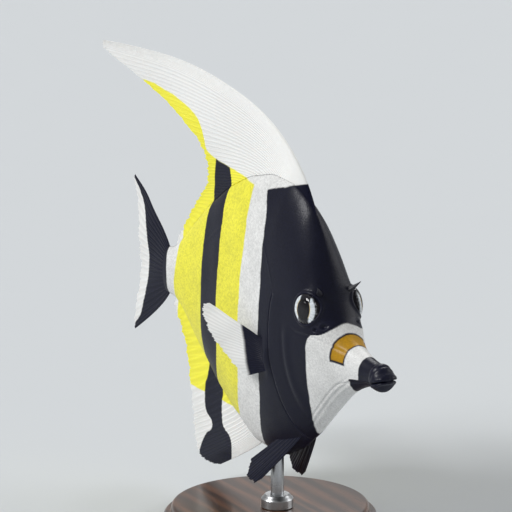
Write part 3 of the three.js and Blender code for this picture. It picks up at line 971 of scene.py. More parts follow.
@dataclass(frozen=True)
class FinMembrane:
    """Fin membrane stretched between bony rays: smooth, thin and wet.

    To the eye it has a soft shine that breaks at each ray and its joints, and lets some light through at its
    rim. The fin's own map runs across its rays in U and from root to tip in V.
    """

    markings: Tree
    rays: int
    name: str = "fin_membrane"
    roughness: float = 0.42
    specular: float = 0.17
    segments: float = 70.0
    segment_depth_mm: float = 0.05
    # Painted shade on the membrane between the rays and painted light on each ray's crest, as shares of the
    # markings' colour.
    between: float = 0.87
    on_ray: float = 1.02
    see_through: float = 0.12
    rim_from: float = 0.8
    membrane_ior: float = 1.36
    coat: float = 0.1
    coat_roughness: float = 0.2
    flesh: float = 0.15
    flesh_depth_mm: float = 0.6

    def build(self) -> Material:
        """Makes the material: painted shade on the membrane between the rays and a little painted light on
        their crests, and the rays jointed across.

        Returns:
            The material.
        """
        material, tree, shader = new_material(f"{self.name}_{self.markings.name}_{self.rays}")
        chart = node(tree, "UVMap", {"uv_map": "UVMap"}).outputs[0]
        apart = node(tree, "SeparateXYZ", {}, {0: chart})
        across, along = apart.outputs["X"], apart.outputs["Y"]
        counted = {0: across, 1: self.rays * math.tau}
        turns = node(tree, "Math", {"operation": "MULTIPLY"}, counted).outputs[0]
        wave = node(tree, "Math", {"operation": "COSINE"}, {0: turns}).outputs[0]
        crest = node(tree, "MapRange", {}, {"Value": wave, "From Min": 1.0, "From Max": -1.0}).outputs[0]
        place = node(tree, "TexCoord").outputs["Object"]
        painted = node(tree, "Group", {"node_tree": self.markings}, {0: place}).outputs[0]
        # Painted shade between the rays and painted light on their crests.
        light = {"Value": crest, "To Min": self.between, "To Max": self.on_ray}
        shade = node(tree, "MapRange", {}, light).outputs[0]
        counted = {0: along, 1: self.segments * math.tau}
        joints = node(tree, "Math", {"operation": "MULTIPLY"}, counted).outputs[0]
        rings = node(tree, "Math", {"operation": "SINE"}, {0: joints}).outputs[0]
        cut = node(tree, "Math", {"operation": "MULTIPLY"}, {0: rings, 1: crest}).outputs[0]
        thin = {"Value": along, "From Min": self.rim_from, "From Max": 1.0, "To Max": self.see_through}
        rim = node(tree, "MapRange", {}, thin).outputs[0]
        clear = node(tree, "Math", {"operation": "MULTIPLY"}, {0: rim, 1: crest}).outputs[0]
        feed(tree, shader, {
            "Base Color": shaded(tree, painted, shade),
            "Normal": bump(tree, cut, self.segment_depth_mm, 0.35),
            "Transmission Weight": clear,
            "IOR": self.membrane_ior,
            "Roughness": self.roughness,
            "Specular IOR Level": self.specular,
            "Coat Weight": self.coat,
            "Coat Roughness": self.coat_roughness,
            "Subsurface Weight": self.flesh,
            "Subsurface Radius": PALE_FLESH,
            "Subsurface Scale": self.flesh_depth_mm * MM,
        })
        return material


def deselect_all() -> None:
    """Leaves nothing selected, so that the next operator acts on the new piece alone."""
    bpy.ops.object.select_all(action="DESELECT")


def take(name: str) -> Piece:
    """Names the primitive that was just added, and its mesh.

    Args:
        name: the piece's name.

    Returns:
        The piece.
    """
    made = bpy.context.active_object
    made.name = made.data.name = name
    return made


def select_only(piece: Piece) -> None:
    """Makes one piece the selected and active one.

    Args:
        piece: the piece.
    """
    deselect_all()
    piece.select_set(True)
    bpy.context.view_layer.objects.active = piece


def edit(piece: Piece, *steps: Callable[[], object]) -> None:
    """Runs edit-mode operators on all of a piece's mesh.

    Args:
        piece: the piece.
        steps: the operators, in order.
    """
    select_only(piece)
    bpy.ops.object.mode_set(mode="EDIT")
    bpy.ops.mesh.select_all(action="SELECT")
    for step in steps:
        step()
    bpy.ops.object.mode_set(mode="OBJECT")


def face_outwards() -> None:
    """Turns all of the mesh's faces to point out."""
    bpy.ops.mesh.normals_make_consistent(inside=False)


def read(elements: bpy.types.bpy_prop_collection, name: str, width: int = 3, kind: type = float) -> Array:
    """Reads the same value from each element of a mesh.

    Args:
        elements: its vertices, normals, faces or their corners.
        name: the value's name.
        width: how many numbers the value has.
        kind: their type.

    Returns:
        A row for each element.
    """
    values = np.empty(len(elements) * width, kind)
    elements.foreach_get(name, values)
    return values.reshape(-1, width)


def vertices(piece: Piece) -> Array:
    """The places of a mesh's vertices, in metres."""
    return read(piece.data.vertices, "co")


def move_vertices(piece: Piece, places: Array) -> None:
    """Puts a mesh's vertices at new places, in metres."""
    piece.data.vertices.foreach_set("co", np.ascontiguousarray(places).ravel())
    piece.data.update()


def normals(piece: Piece) -> Array:
    """The way that the surface faces at each vertex."""
    return read(piece.data.vertex_normals, "vector", 3, np.float32).astype(float)


def corner_vertices(piece: Piece) -> Array:
    """The number of the vertex that each corner of a mesh's faces stands on."""
    return read(piece.data.loops, "vertex_index", 1, np.int32)[:, 0]


def smooth_shade(piece: Piece, angle: float) -> None:
    """Shades a piece smooth, but for edges sharper than the angle in degrees."""
    select_only(piece)
    bpy.ops.object.shade_smooth_by_angle(angle=math.radians(angle))


def dress(piece: Piece, material: Material, slot: str, *nodes: str) -> Piece:
    """Gives a piece its finish, hangs it from the root body and hides the solids that it stands for.

    Args:
        piece: the finished piece, its object at the origin.
        material: its finish.
        slot: the record's slot for that finish; not used.
        nodes: the solids that it stands for.

    Returns:
        The piece.
    """
    piece.data.materials.clear()
    piece.data.materials.append(material)
    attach(piece, "root")
    if nodes:
        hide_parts(*nodes)
    log.info("%s: %d faces", piece.name, len(piece.data.polygons))
    return piece


@dataclass
class Skin:
    """The fish's one skin, from the lips to the root of the tail, in mm and numbers of rings and spokes.

    The rings crowd towards the snout. The faces are finer round each eye and along each gill opening, by so
    many mm, and round each nostril, by so many times its radius.
    """

    finish: Material
    rings: int = 256
    spokes: int = 236
    crowding: float = 1.6
    fine_round_eye: float = 7.4
    fine_round_gill: float = 1.5
    fine_round_nostril: float = 3.0
    nodes: tuple[str, ...] = (
        "head", "torso", "tail_stalk", "upper_jaw", "lower_jaw", "gill_cover_right", "gill_cover_left",
    )

    def shaped(self) -> Piece:
        """A sphere drawn out to the fish's bare form, its poles at the snout's tip and the tail's root.

        Returns:
            The piece.
        """
        deselect_all()
        bpy.ops.mesh.primitive_uv_sphere_add(segments=self.spokes, ring_count=self.rings, radius=1)
        piece = take("skin")
        start = vertices(piece)
        ring = np.arccos(np.clip(start[:, 2], -1, 1)) / math.pi * self.rings
        share = np.clip((ring - 1) / (self.rings - 2), 0, 1)
        behind = FORM.length * share**self.crowding
        turn = np.arctan2(start[:, 1], start[:, 0])
        side, high = FORM.section(behind, turn)
        at_snout, at_tail = ring < 0.5, ring > self.rings - 0.5
        behind = np.where(at_snout, -FORM.tip, behind)
        pole = at_snout | at_tail
        side = np.where(pole, 0.0, side)
        high = np.where(pole, FORM.widest(behind), high)
        move_vertices(piece, FORM.point(behind, side, high) * MM)
        edit(piece, face_outwards)
        return piece

    def refine(self, piece: Piece) -> None:
        """Splits the faces round eyes, nostrils and gill openings finely enough for their relief.

        Args:
            piece: the skin in its bare form.
        """
        middles = read(piece.data.polygons, "center") / MM
        behind, _, high = FORM.place(middles)
        gill = RELIEF.gill
        near = np.abs(gill.gap(behind, high) - gill.groove_width / 2) < self.fine_round_gill
        near &= gill.reach(high) > 0
        near |= RELIEF.socket.away(middles) < self.fine_round_eye
        for nostril in RELIEF.nostrils:
            near |= nostril.away(behind, high) < self.fine_round_nostril
        select_only(piece)
        bpy.ops.object.mode_set(mode="EDIT")
        bpy.ops.mesh.select_all(action="DESELECT")
        bpy.ops.object.mode_set(mode="OBJECT")
        piece.data.polygons.foreach_set("select", near)
        bpy.ops.object.mode_set(mode="EDIT")
        bpy.ops.mesh.subdivide(number_cuts=2)
        bpy.ops.object.mode_set(mode="OBJECT")

    def build(self) -> Piece:
        """Makes the skin and its relief, and dresses it.

        Returns:
            The piece.
        """
        piece = self.shaped()
        self.refine(piece)
        bare = vertices(piece)
        height = RELIEF.height(bare / MM)
        move_vertices(piece, bare + normals(piece) * height[:, None] * MM)
        smooth_shade(piece, 70.0)
        return dress(piece, self.finish, "scaled_skin", *self.nodes)


@dataclass
class ScaleCoat:
    """Small overlapping scales over the whole skin, in rows along it, finest on the face.

    Lengths are in mm. Shares are of a scale's pitch, which is how far apart the rows are. Along one scale,
    its widths and heights are given at its root, middle and tip.
    """

    finish: Material
    first: float = 7.6
    last: float = 156.6
    parts: tuple[tuple[str, float], ...] = (("face", 43.0), ("cheek", 66.0), ("flank", 98.0), ("rear", 160.0))
    pitch: SmoothLine = SmoothLine(
        (7, 0.4), (20, 0.46), (30, 0.52), (42, 0.58), (56, 0.7), (72, 0.86), (96, 0.92), (124, 0.84),
        (148, 0.7), (158, 0.62),
    )
    column_share: float = 0.6
    length_share: float = 1.62
    width_share: float = 1.16
    root_share: float = 0.35
    widths: tuple[float, float, float] = (0.72, 1.0, 0.66)
    heights: tuple[float, float, float] = (-0.5, 0.62, 1.0)
    side_height: float = 0.45
    tip_side: float = 0.84
    lift: float = 0.16
    spin: float = 0.09
    stray: float = 0.07
    sizes: Point = (0.94, 1.06)
    lifts: Point = (0.85, 1.2)
    tones: Point = (0.86, 1.06)
    keel_margin: float = 0.35
    eye_margin: float = 0.45
    gill_margin: float = 0.5
    gill_faint: float = 0.1
    lip_margin: float = 2.4
    mouth_margin: float = 2.0
    nostril_margin: Point = (2.1, 0.25)
    chart_margin: float = 0.05
    chart_patch: float = 0.003
    section_steps: int = 480
    most_rows: int = 200

    def scale_shape(self) -> tuple[Array, list[list[int]]]:
        """One scale, modelled once: a shield with a domed top, its root sunk and its rounded edge lifted.

        Returns:
            Its points, with its length and width as 1, and the corners of each of its faces.
        """
        deselect_all()
        bpy.ops.mesh.primitive_grid_add(x_subdivisions=2, y_subdivisions=2, size=1)
        shape = take("one_scale")
        start = vertices(shape)
        along, across = start[:, 0] + 0.5, start[:, 1]
        near = 0.1
        at_root, at_tip, middle = along < near, along > 1 - near, np.abs(across) < near
        stations = (0, 0.5, 1)
        width = np.interp(along, stations, self.widths)
        height = np.interp(along, stations, self.heights) * np.where(middle, 1.0, self.side_height)
        height = np.where(at_root, self.heights[0], height) * self.lift
        reach = np.where(at_tip & ~middle, self.tip_side, along)
        move_vertices(shape, np.stack([reach, across * width, height], axis=1))
        edit(shape, bpy.ops.mesh.region_to_loop, bpy.ops.mesh.edge_face_add, bpy.ops.mesh.poke)
        edit(shape, face_outwards)
        faces = [list(face.vertices) for face in shape.data.polygons]
        points = vertices(shape)
        bpy.data.objects.remove(shape)
        return points, faces

    def spots(self) -> tuple[Array, Array, Array]:
        """Where the left side's scales grow, with those on the back's and the belly's middle line.

        Returns:
            How far behind the snout's tip each grows, at what turn of the section, and its pitch.
        """
        behind, turn, pitch = [], [], []
        column, place = 0, self.first
        angles = np.linspace(-math.pi / 2, math.pi / 2, self.section_steps + 1)
        zero = self.section_steps // 2
        numbers = np.arange(-self.most_rows, self.most_rows + 1)
        while place < self.last:
            step = float(self.pitch(place))
            side, high = FORM.section(np.full_like(angles, place), angles)
            run = np.concatenate([[0], np.cumsum(np.hypot(np.diff(side), np.diff(high)))])
            run -= run[zero]
            rows = (numbers + 0.5 * (column % 2)) * step
            margin = self.keel_margin * step
            rows = rows[(rows > run[0] + margin) & (rows < run[-1] - margin)]
            turns = np.concatenate([np.interp(rows, run, angles), [angles[0], angles[-1]]])
            behind.append(np.full(len(turns), place))
            turn.append(turns)
            pitch.append(np.full(len(turns), step))
            place += step * self.column_share
            column += 1
        return np.concatenate(behind), np.concatenate(turn), np.concatenate(pitch)

    def surface(self, behind: Array, turn: Array) -> Array:
        """Points of the finished skin, in mm."""
        here, out = FORM.bare(behind, turn)
        return here + out * RELIEF.height(here)[:, None]

    def grows(self, behind: Array, points: Array) -> Array:
        """Whether a scale grows at each spot: not on lips, eyes and nostrils, nor in the gill opening.

        Args:
            behind: how far behind the snout's tip each lies.
            points: the same spots in the part's own frame.

        Returns:
            True for each spot that has a scale.
        """
        _, _, high = FORM.place(points)
        there = RELIEF.socket.away(points) > RELIEF.socket.rim_radius + self.eye_margin
        gill, mouth = RELIEF.gill, RELIEF.mouth
        gap = gill.gap(behind, high)
        there &= (
            (gap < -gill.lid_margin)
            | (gap > gill.groove_width + self.gill_margin)
            | (gill.reach(high) < self.gill_faint)
        )
        past_lips = behind > mouth.fold_behind + self.lip_margin
        there &= past_lips | (np.abs(mouth.above(behind, high)) > self.mouth_margin)
        share, more = self.nostril_margin
        for nostril in RELIEF.nostrils:
            there &= nostril.away(behind, high) > share + more / nostril.reach[0]
        return there

    def ways(self, behind: Array, turn: Array) -> tuple[Array, Array]:
        """Which way is tailward and which way is out at each spot of the finished skin.

        Args:
            behind: how far behind the snout's tip each spot lies.
            turn: its turn of the section.

        Returns:
            Two unit vectors for each spot.
        """
        step, swing = 0.12, 0.006
        tailward = self.surface(behind + step, turn) - self.surface(behind - step, turn)
        tailward /= np.linalg.norm(tailward, axis=1)[:, None]
        round_it = self.surface(behind, turn + swing) - self.surface(behind, turn - swing)
        out = np.cross(tailward, round_it)
        return tailward, out / np.linalg.norm(out, axis=1)[:, None]

    def build_piece(self, name: str, side: Side, spots: tuple[Array, Array, Array], shape: tuple) -> None:
        """Joins one side's scales of one part of the body into a mesh.

        Args:
            name: the piece's name.
            side: the side of the fish.
            spots: how far behind, at what turn and how wide apart the scales grow.
            shape: one scale's points and faces.
        """
        behind, turn, pitch = spots
        if side is Side.RIGHT:
            off_keel = np.abs(turn) < math.pi / 2 - 1e-6
            behind, turn, pitch = (each[off_keel] for each in (behind, turn, pitch))
            turn = math.pi - turn
        rng = np.random.default_rng(SEED + len(name))
        behind = behind + rng.normal(0, self.stray, len(behind)) * pitch
        roots = self.surface(behind, turn)
        kept = self.grows(behind, roots)
        behind, turn, pitch, roots = behind[kept], turn[kept], pitch[kept], roots[kept]
        tailward, out = self.ways(behind, turn)
        across = np.cross(out, tailward)
        spin = rng.normal(0, self.spin, len(roots))[:, None]
        long_way = tailward * np.cos(spin) + across * np.sin(spin)
        wide_way = across * np.cos(spin) - tailward * np.sin(spin)
        size = (pitch * rng.uniform(*self.sizes, len(roots)))[:, None, None]
        points, faces = shape
        long, wide, tall = (points[:, i][None, :, None] for i in range(3))
        placed = (
            roots[:, None, :]
            + long_way[:, None, :] * (long - self.root_share) * size * self.length_share
            + wide_way[:, None, :] * wide * size * self.width_share
            + out[:, None, :] * tall * size * rng.uniform(*self.lifts, (len(roots), 1, 1))
        )
        piece = self.joined(name, placed * MM, faces)
        each = len(points)
        tone = np.repeat(rng.uniform(*self.tones, len(roots)), each)
        self.note(piece, "root", "FLOAT_VECTOR", np.repeat(roots, each, axis=0) * MM)
        self.note(piece, "tone", "FLOAT", tone)
        # How far along its scale each point lies: the finish paints shade by it towards the root.
        self.note(piece, "reach", "FLOAT", np.tile(points[:, 0], len(roots)))
        self.unwrap(piece, behind, turn, points)
        smooth_shade(piece, 50.0)
        dress(piece, self.finish, "scaled_skin")

    def note(self, piece: Piece, name: str, kind: str, values: Array) -> None:
        """Notes a number or a vector for each vertex under a name, for the finish to read."""
        attribute = piece.data.attributes.new(name, kind, "POINT")
        attribute.data.foreach_set("vector" if kind == "FLOAT_VECTOR" else "value", values.ravel())

    def unwrap(self, piece: Piece, behind: Array, turn: Array, points: Array) -> None:
        """Lays the scales out flat by where they grow, so that each has a patch of its own to bake on.

        Args:
            piece: the mesh's object.
            behind: how far behind the snout's tip each scale grows.
            turn: its turn of the section.
            points: one scale's points.
        """
        along = self.chart_margin + (1 - 2 * self.chart_margin) * behind / FORM.length
        chart = np.stack([along, (turn / math.tau + 0.25) % 1.0], axis=1)
        spread = (chart[:, None, :] + points[None, :, :2] * self.chart_patch).reshape(-1, 2)
        layer = piece.data.uv_layers.new(name="OFBake")
        layer.data.foreach_set("uv", spread[corner_vertices(piece)].ravel())

    def joined(self, name: str, placed: Array, faces: list[list[int]]) -> Piece:
        """One mesh of many copies of a shape.

        Args:
            name: its name.
            placed: the points of each copy, in metres.
            faces: the corners of each face of one copy.

        Returns:
            The new object.
        """
        copies, each = placed.shape[:2]
        order = np.concatenate([np.array(face) for face in faces])
        sizes = np.array([len(face) for face in faces])
        mesh = bpy.data.meshes.new(name)
        mesh.vertices.add(copies * each)
        mesh.vertices.foreach_set("co", placed.ravel())
        mesh.loops.add(copies * len(order))
        shifted = order[None, :] + np.arange(copies)[:, None] * each
        mesh.loops.foreach_set("vertex_index", shifted.ravel().astype(np.int32))
        totals = np.tile(sizes, copies)
        mesh.polygons.add(len(totals))
        starts = np.concatenate([[0], np.cumsum(totals)[:-1]])
        mesh.polygons.foreach_set("loop_start", starts.astype(np.int32))
        mesh.update(calc_edges=True)
        piece = bpy.data.objects.new(name, mesh)
        bpy.context.scene.collection.objects.link(piece)
        return piece

    def build(self) -> None:
        """Makes the coat, in a few lengths on each side."""
        shape = self.scale_shape()
        behind, turn, pitch = self.spots()
        for side in Side:
            start = 0.0
            for part, end in self.parts:
                chosen = (behind >= start) & (behind < end)
                spots = (behind[chosen], turn[chosen], pitch[chosen])
                self.build_piece(f"scales_{part}_{side.word}", side, spots, shape)
                start = end


RayRow = tuple[float, float, float, float]


@dataclass
class Fin:
    """A fin's blade: branched rays with thin membrane between them, in mm.

    Each row is where a ray leaves the body, where its tip is behind and high, and how far it arches, as a
    share of its length. Rays between two rows are blended. A place along a ray is a share of its length, and
    a place across one is a share of the way to the next.
    """

    name: str
    markings: Tree
    slot: str
    nodes: tuple[str, ...]
    rows: tuple[RayRow, ...]
    root: Callable[[Array], tuple[Array, Array]]
    rays: int
    sway: Callable[[Array, Array], Array] = lambda behind, high: np.zeros_like(behind)
    spread: SmoothLine | None = None
    columns_each: int = 10
    along: int = 48
    arch_at: float = 0.12
    membrane: float = 0.42
    edge: float = 0.15
    ray_root: float = 0.78
    ray_tip: float = 0.3
    ray_taper: float = 0.8
    ray_width: float = 0.15
    ray_narrowing: float = 0.35
    spines: int = 0
    branch_from: float = 0.35
    branch_apart: float = 0.24
    fray: float = 0.22
    fray_from: float = 0.6
    fray_level: float = 0.6
    uneven: float = 0.4
    uneven_waves: Point = (2.3, 5.1)
    uneven_shift: float = 1.7
    least_length: float = 6.0
    ripple: float = 0.35
    ripple_from: float = 0.2
    ripple_length: float = 26.0
    ripple_lean: float = 0.8

    def line(self, root: Array, along: Array) -> tuple[Array, Array]:
        """Places along rays, each bent like a bow near its root.

        Args:
            root: where each ray leaves the body, as in the rows.
            along: the place along the ray.

        Returns:
            How far behind each place is and how high.
        """
        tip_behind, tip_high, bow = (
            SmoothLine(*((row[0], row[column]) for row in self.rows))(root) for column in (1, 2, 3)
        )
        start_behind, start_high = self.root(root)
        length = np.hypot(tip_behind - start_behind, tip_high - start_high)
        bend_behind = start_behind + (tip_behind - start_behind) * self.arch_at
        bend_high = start_high + (tip_high - start_high) * self.arch_at + bow * length
        first, middle, last = (1 - along) ** 2, 2 * along * (1 - along), along**2
        behind = first * start_behind + middle * bend_behind + last * tip_behind
        return behind, first * start_high + middle * bend_high + last * tip_high

    def ridges(self, across: Array, along: Array) -> Array:
        """How far each place stands up on a ray: spines are single, and soft rays part in two.

        Args:
            across: the place across the fin, from 0 at its first ray to 1 at its last.
            along: the place along the ray.

        Returns:
            A height from 0 on the membrane to 1 on a ray's crest.
        """
        number = across * self.rays
        off = number - np.floor(number) - 0.5
        is_spine = np.floor(number) < self.spines
        apart = np.where(is_spine, 0.0, self.branch_apart * smoothstep(self.branch_from, 1.0, along))
        narrow = self.ray_width * (1 - self.ray_narrowing * along)
        return np.maximum(ridge(off - apart, narrow), ridge(off + apart, narrow))

    def worn(self, root: Array, number: Array, along: Array, crest: Array) -> Array:
        """Frays the fin's edge: rays reach a little past the membrane, and some are worn shorter.

        Args:
            root: where each ray leaves the body, as in the rows.
            number: the ray's number, with the share of the way to the next.
            along: the place along the ray.
            crest: how far the place stands up on a ray.

        Returns:
            The place along the ray where each one ends up.
        """
        tip_behind, tip_high = self.line(root, np.ones_like(along))
        root_behind, root_high = self.root(root)
        length = np.hypot(tip_behind - root_behind, tip_high - root_high)
        slow, quick = self.uneven_waves
        unlike = np.sin(number * slow) + np.sin(number * quick + self.uneven_shift)
        ragged = (crest - self.fray_level) * self.fray + unlike * self.uneven / 2
        longer = ragged / np.maximum(length, self.least_length)
        return along * (1 + longer * smoothstep(self.fray_from, 1.0, along))

    def build(self) -> Piece:
        """Makes the blade from a grid, thickened by its rays, and dresses it.

        Returns:
            The piece.
        """
        deselect_all()
        columns = self.rays * self.columns_each
        bpy.ops.mesh.primitive_grid_add(x_subdivisions=columns, y_subdivisions=self.along, size=2)
        piece = take(self.name)
        start = vertices(piece)
        across, along = (start[:, 0] + 1) / 2, (start[:, 1] + 1) / 2
        crest = self.ridges(across, along)
        first, last = self.rows[0][0], self.rows[-1][0]
        root = self.spread(across) if self.spread else first + (last - first) * across
        behind, high = self.line(root, self.worn(root, across * self.rays, along, crest))
        wave = np.sin((behind * self.ripple_lean + high) / self.ripple_length * math.tau)
        side = self.sway(behind, high) + self.ripple * wave * smoothstep(self.ripple_from, 1.0, along)
        move_vertices(piece, FORM.point(behind, side, high) * MM)
        skin = self.membrane + (self.edge - self.membrane) * along
        bone = self.ray_root + (self.ray_tip - self.ray_root) * along**self.ray_taper
        thick = skin + np.maximum(bone - skin, 0) * crest
        self.thicken(piece, thick * MM)
        smooth_shade(piece, 60.0)
        finish = FinMembrane(self.markings, self.rays).build()
        return dress(piece, finish, self.slot, *self.nodes)

    def thicken(self, piece: Piece, thick: Array) -> None:
        """Gives the blade its thickness on both sides and a rim, by a Solidify that is applied.

        Args:
            piece: the blade's middle surface.
            thick: the thickness at each vertex, in metres.
        """
        group = piece.vertex_groups.new(name="thickness")
        most = float(thick.max())
        levels = np.round(thick / most, 3)
        for level in np.unique(levels):
            group.add(np.flatnonzero(levels == level).tolist(), float(level), "REPLACE")
        solid = piece.modifiers.new("thickness", "SOLIDIFY")
        solid.thickness = most
        solid.offset = 0.0
        solid.vertex_group = group.name
        solid.use_even_offset = False
        select_only(piece)
        bpy.ops.object.modifier_apply(modifier=solid.name)
        piece.vertex_groups.clear()
        edit(piece, face_outwards)


@dataclass
class Fins:
    """All of the fish's fins, placed as in the solids."""

    markings: Tree
    inside: float = 3.0
    tail_root: float = 156.0
    pectoral_root: float = 65.5
    pectoral_side: float = 10.8
    pectoral_flare: float = 0.466
    pelvic_first: float = 55.5
    pelvic_high: float = -33.0
    pelvic_rise: float = 0.8
    pelvic_side: float = 2.6
    pelvic_lean: float = 0.3

    def __post_init__(self) -> None:
        """Makes the markings that only the paired fins have."""
        base = Patch(BLUE_BLACK, (behind_edge(False, (-16, 73.2), (10, 77.2)),), soft=0.8)
        self.black_based = Markings(name="pectoral_markings", patches=(base,)).build()
        self.black = Markings(name="pelvic_markings", ground=BLUE_BLACK, patches=()).build()

    def dorsal(self) -> None:
        """The dorsal fin, with the long white pennant drawn back from its first rays."""
        Fin(
            name="dorsal_blade",
            markings=self.markings,
            slot="pale_fin",
            nodes=("dorsal_pennant", "dorsal_fin_middle", "dorsal_fin_rear"),
            rows=(
                (49.4, 203.2, 72.2, 0.31), (56, 204.2, 71, 0.26), (60, 203.4, 69.6, 0.23),
                (63, 189, 67, 0.21), (67, 171, 63.2, 0.18), (72, 152, 59, 0.16), (80, 133.4, 52, 0.14),
                (90, 128.8, 45, 0.11), (102, 129.4, 39, 0.09), (114, 133.6, 33.8, 0.07),
                (130, 141, 25.6, 0.05), (142, 147.4, 17.4, 0.03), (150.5, 151.8, 11.6, 0),
            ),
            root=lambda root: (root, FORM.back(root) - self.inside),
            rays=54,
            spread=SmoothLine((0, 49.4), (0.24, 61), (0.4, 70), (0.6, 90), (1, 150.5)),
            along=60,
            spines=7,
            ray_root=0.95,
            ripple=0.5,
            ripple_length=60.0,
        ).build()

    def anal(self) -> None:
        """The anal fin under the tail's root."""
        Fin(
            name="anal_blade",
            markings=self.markings,
            slot="pale_fin",
            nodes=("anal_fin",),
            rows=(
                (86.5, 119, -61, -0.06), (90, 125, -62.2, -0.06), (94, 131, -62.4, -0.06),
                (98, 136.4, -60.2, -0.05), (104, 138.4, -54.6, -0.05), (114, 139, -45.4, -0.05),
                (126, 142.8, -30.6, -0.04), (138, 147.6, -18.4, -0.02), (149.5, 152.2, -11, 0),
            ),
            root=lambda root: (root, FORM.belly(root) + self.inside),
            rays=36,
            spread=SmoothLine((0, 86.5), (0.4, 99), (1, 149.5)),
            spines=3,
            ripple_length=40.0,
        ).build()

    def tail(self) -> None:
        """The tail fin, fanned out from the stalk and lightly forked."""
        Fin(
            name="tail_blade",
            markings=self.markings,
            slot="dark_fin",
            nodes=("tail_fin",),
            rows=(
                (-7.6, 181.2, -27.6, -0.1), (-6.6, 181, -24, -0.06), (-3.4, 178.4, -11, -0.02),
                (0.3, 177.4, 0.8, 0), (4, 178.4, 12.6, 0.02), (7.2, 181, 25.6, 0.06), (8.2, 181.2, 29.2, 0.1),
            ),
            root=lambda root: (np.full_like(root, self.tail_root), root),
            rays=18,
            columns_each=14,
            branch_from=0.2,
        ).build()

    def pectoral(self, side: Side) -> None:
        """One pectoral fin, held out and back from the flank.

        Args:
            side: the side of the fish.
        """
        Fin(
            name=f"pectoral_blade_{side.word}",
            markings=self.black_based,
            slot="pale_fin",
            nodes=(f"pectoral_fin_{side.word}",),
            rows=(
                (-11.4, 73.8, -15, 0), (-9.6, 79.4, -11.4, 0), (-7.6, 84.9, -6.2, 0),
                (-5.4, 89.2, -0.2, 0.02), (-3.4, 91.6, 5.6, 0.03), (-2.4, 89.4, 8.6, 0.04),
            ),
            root=lambda root: (np.full_like(root, self.pectoral_root), root),
            sway=lambda behind, high: side.value
            * (self.pectoral_side + (behind - self.pectoral_root) * self.pectoral_flare),
            rays=18,
            along=40,
            membrane=0.3,
            ray_root=0.56,
            uneven=0.3,
            ripple=0.25,
            ripple_length=18.0,
        ).build()

    def pelvic(self, side: Side) -> None:
        """One pelvic fin, hanging back under the belly.

        Args:
            side: the side of the fish.
        """
        Fin(
            name=f"pelvic_blade_{side.word}",
            markings=self.black,
            slot="dark_fin",
            nodes=(f"pelvic_fin_{side.word}",),
            rows=(
                (55.5, 74.6, -53.4, -0.06), (56.6, 78.8, -55.6, -0.06), (57.8, 82.6, -55, -0.05),
                (59, 84.6, -52.2, -0.04), (60, 84.4, -48.8, -0.02),
            ),
            root=lambda root: (root, self.pelvic_high + self.pelvic_rise * (root - self.pelvic_first)),
            sway=lambda behind, high: side.value
            * (self.pelvic_side + self.pelvic_lean * (self.pelvic_high - high)),
            rays=6,
            columns_each=16,
            along=36,
            spines=1,
            ripple=0.2,
            ripple_length=14.0,
        ).build()

    def build(self) -> None:
        """Makes every fin."""
        self.dorsal()
        self.anal()
        self.tail()
        for side in Side:
            self.pectoral(side)
            self.pelvic(side)


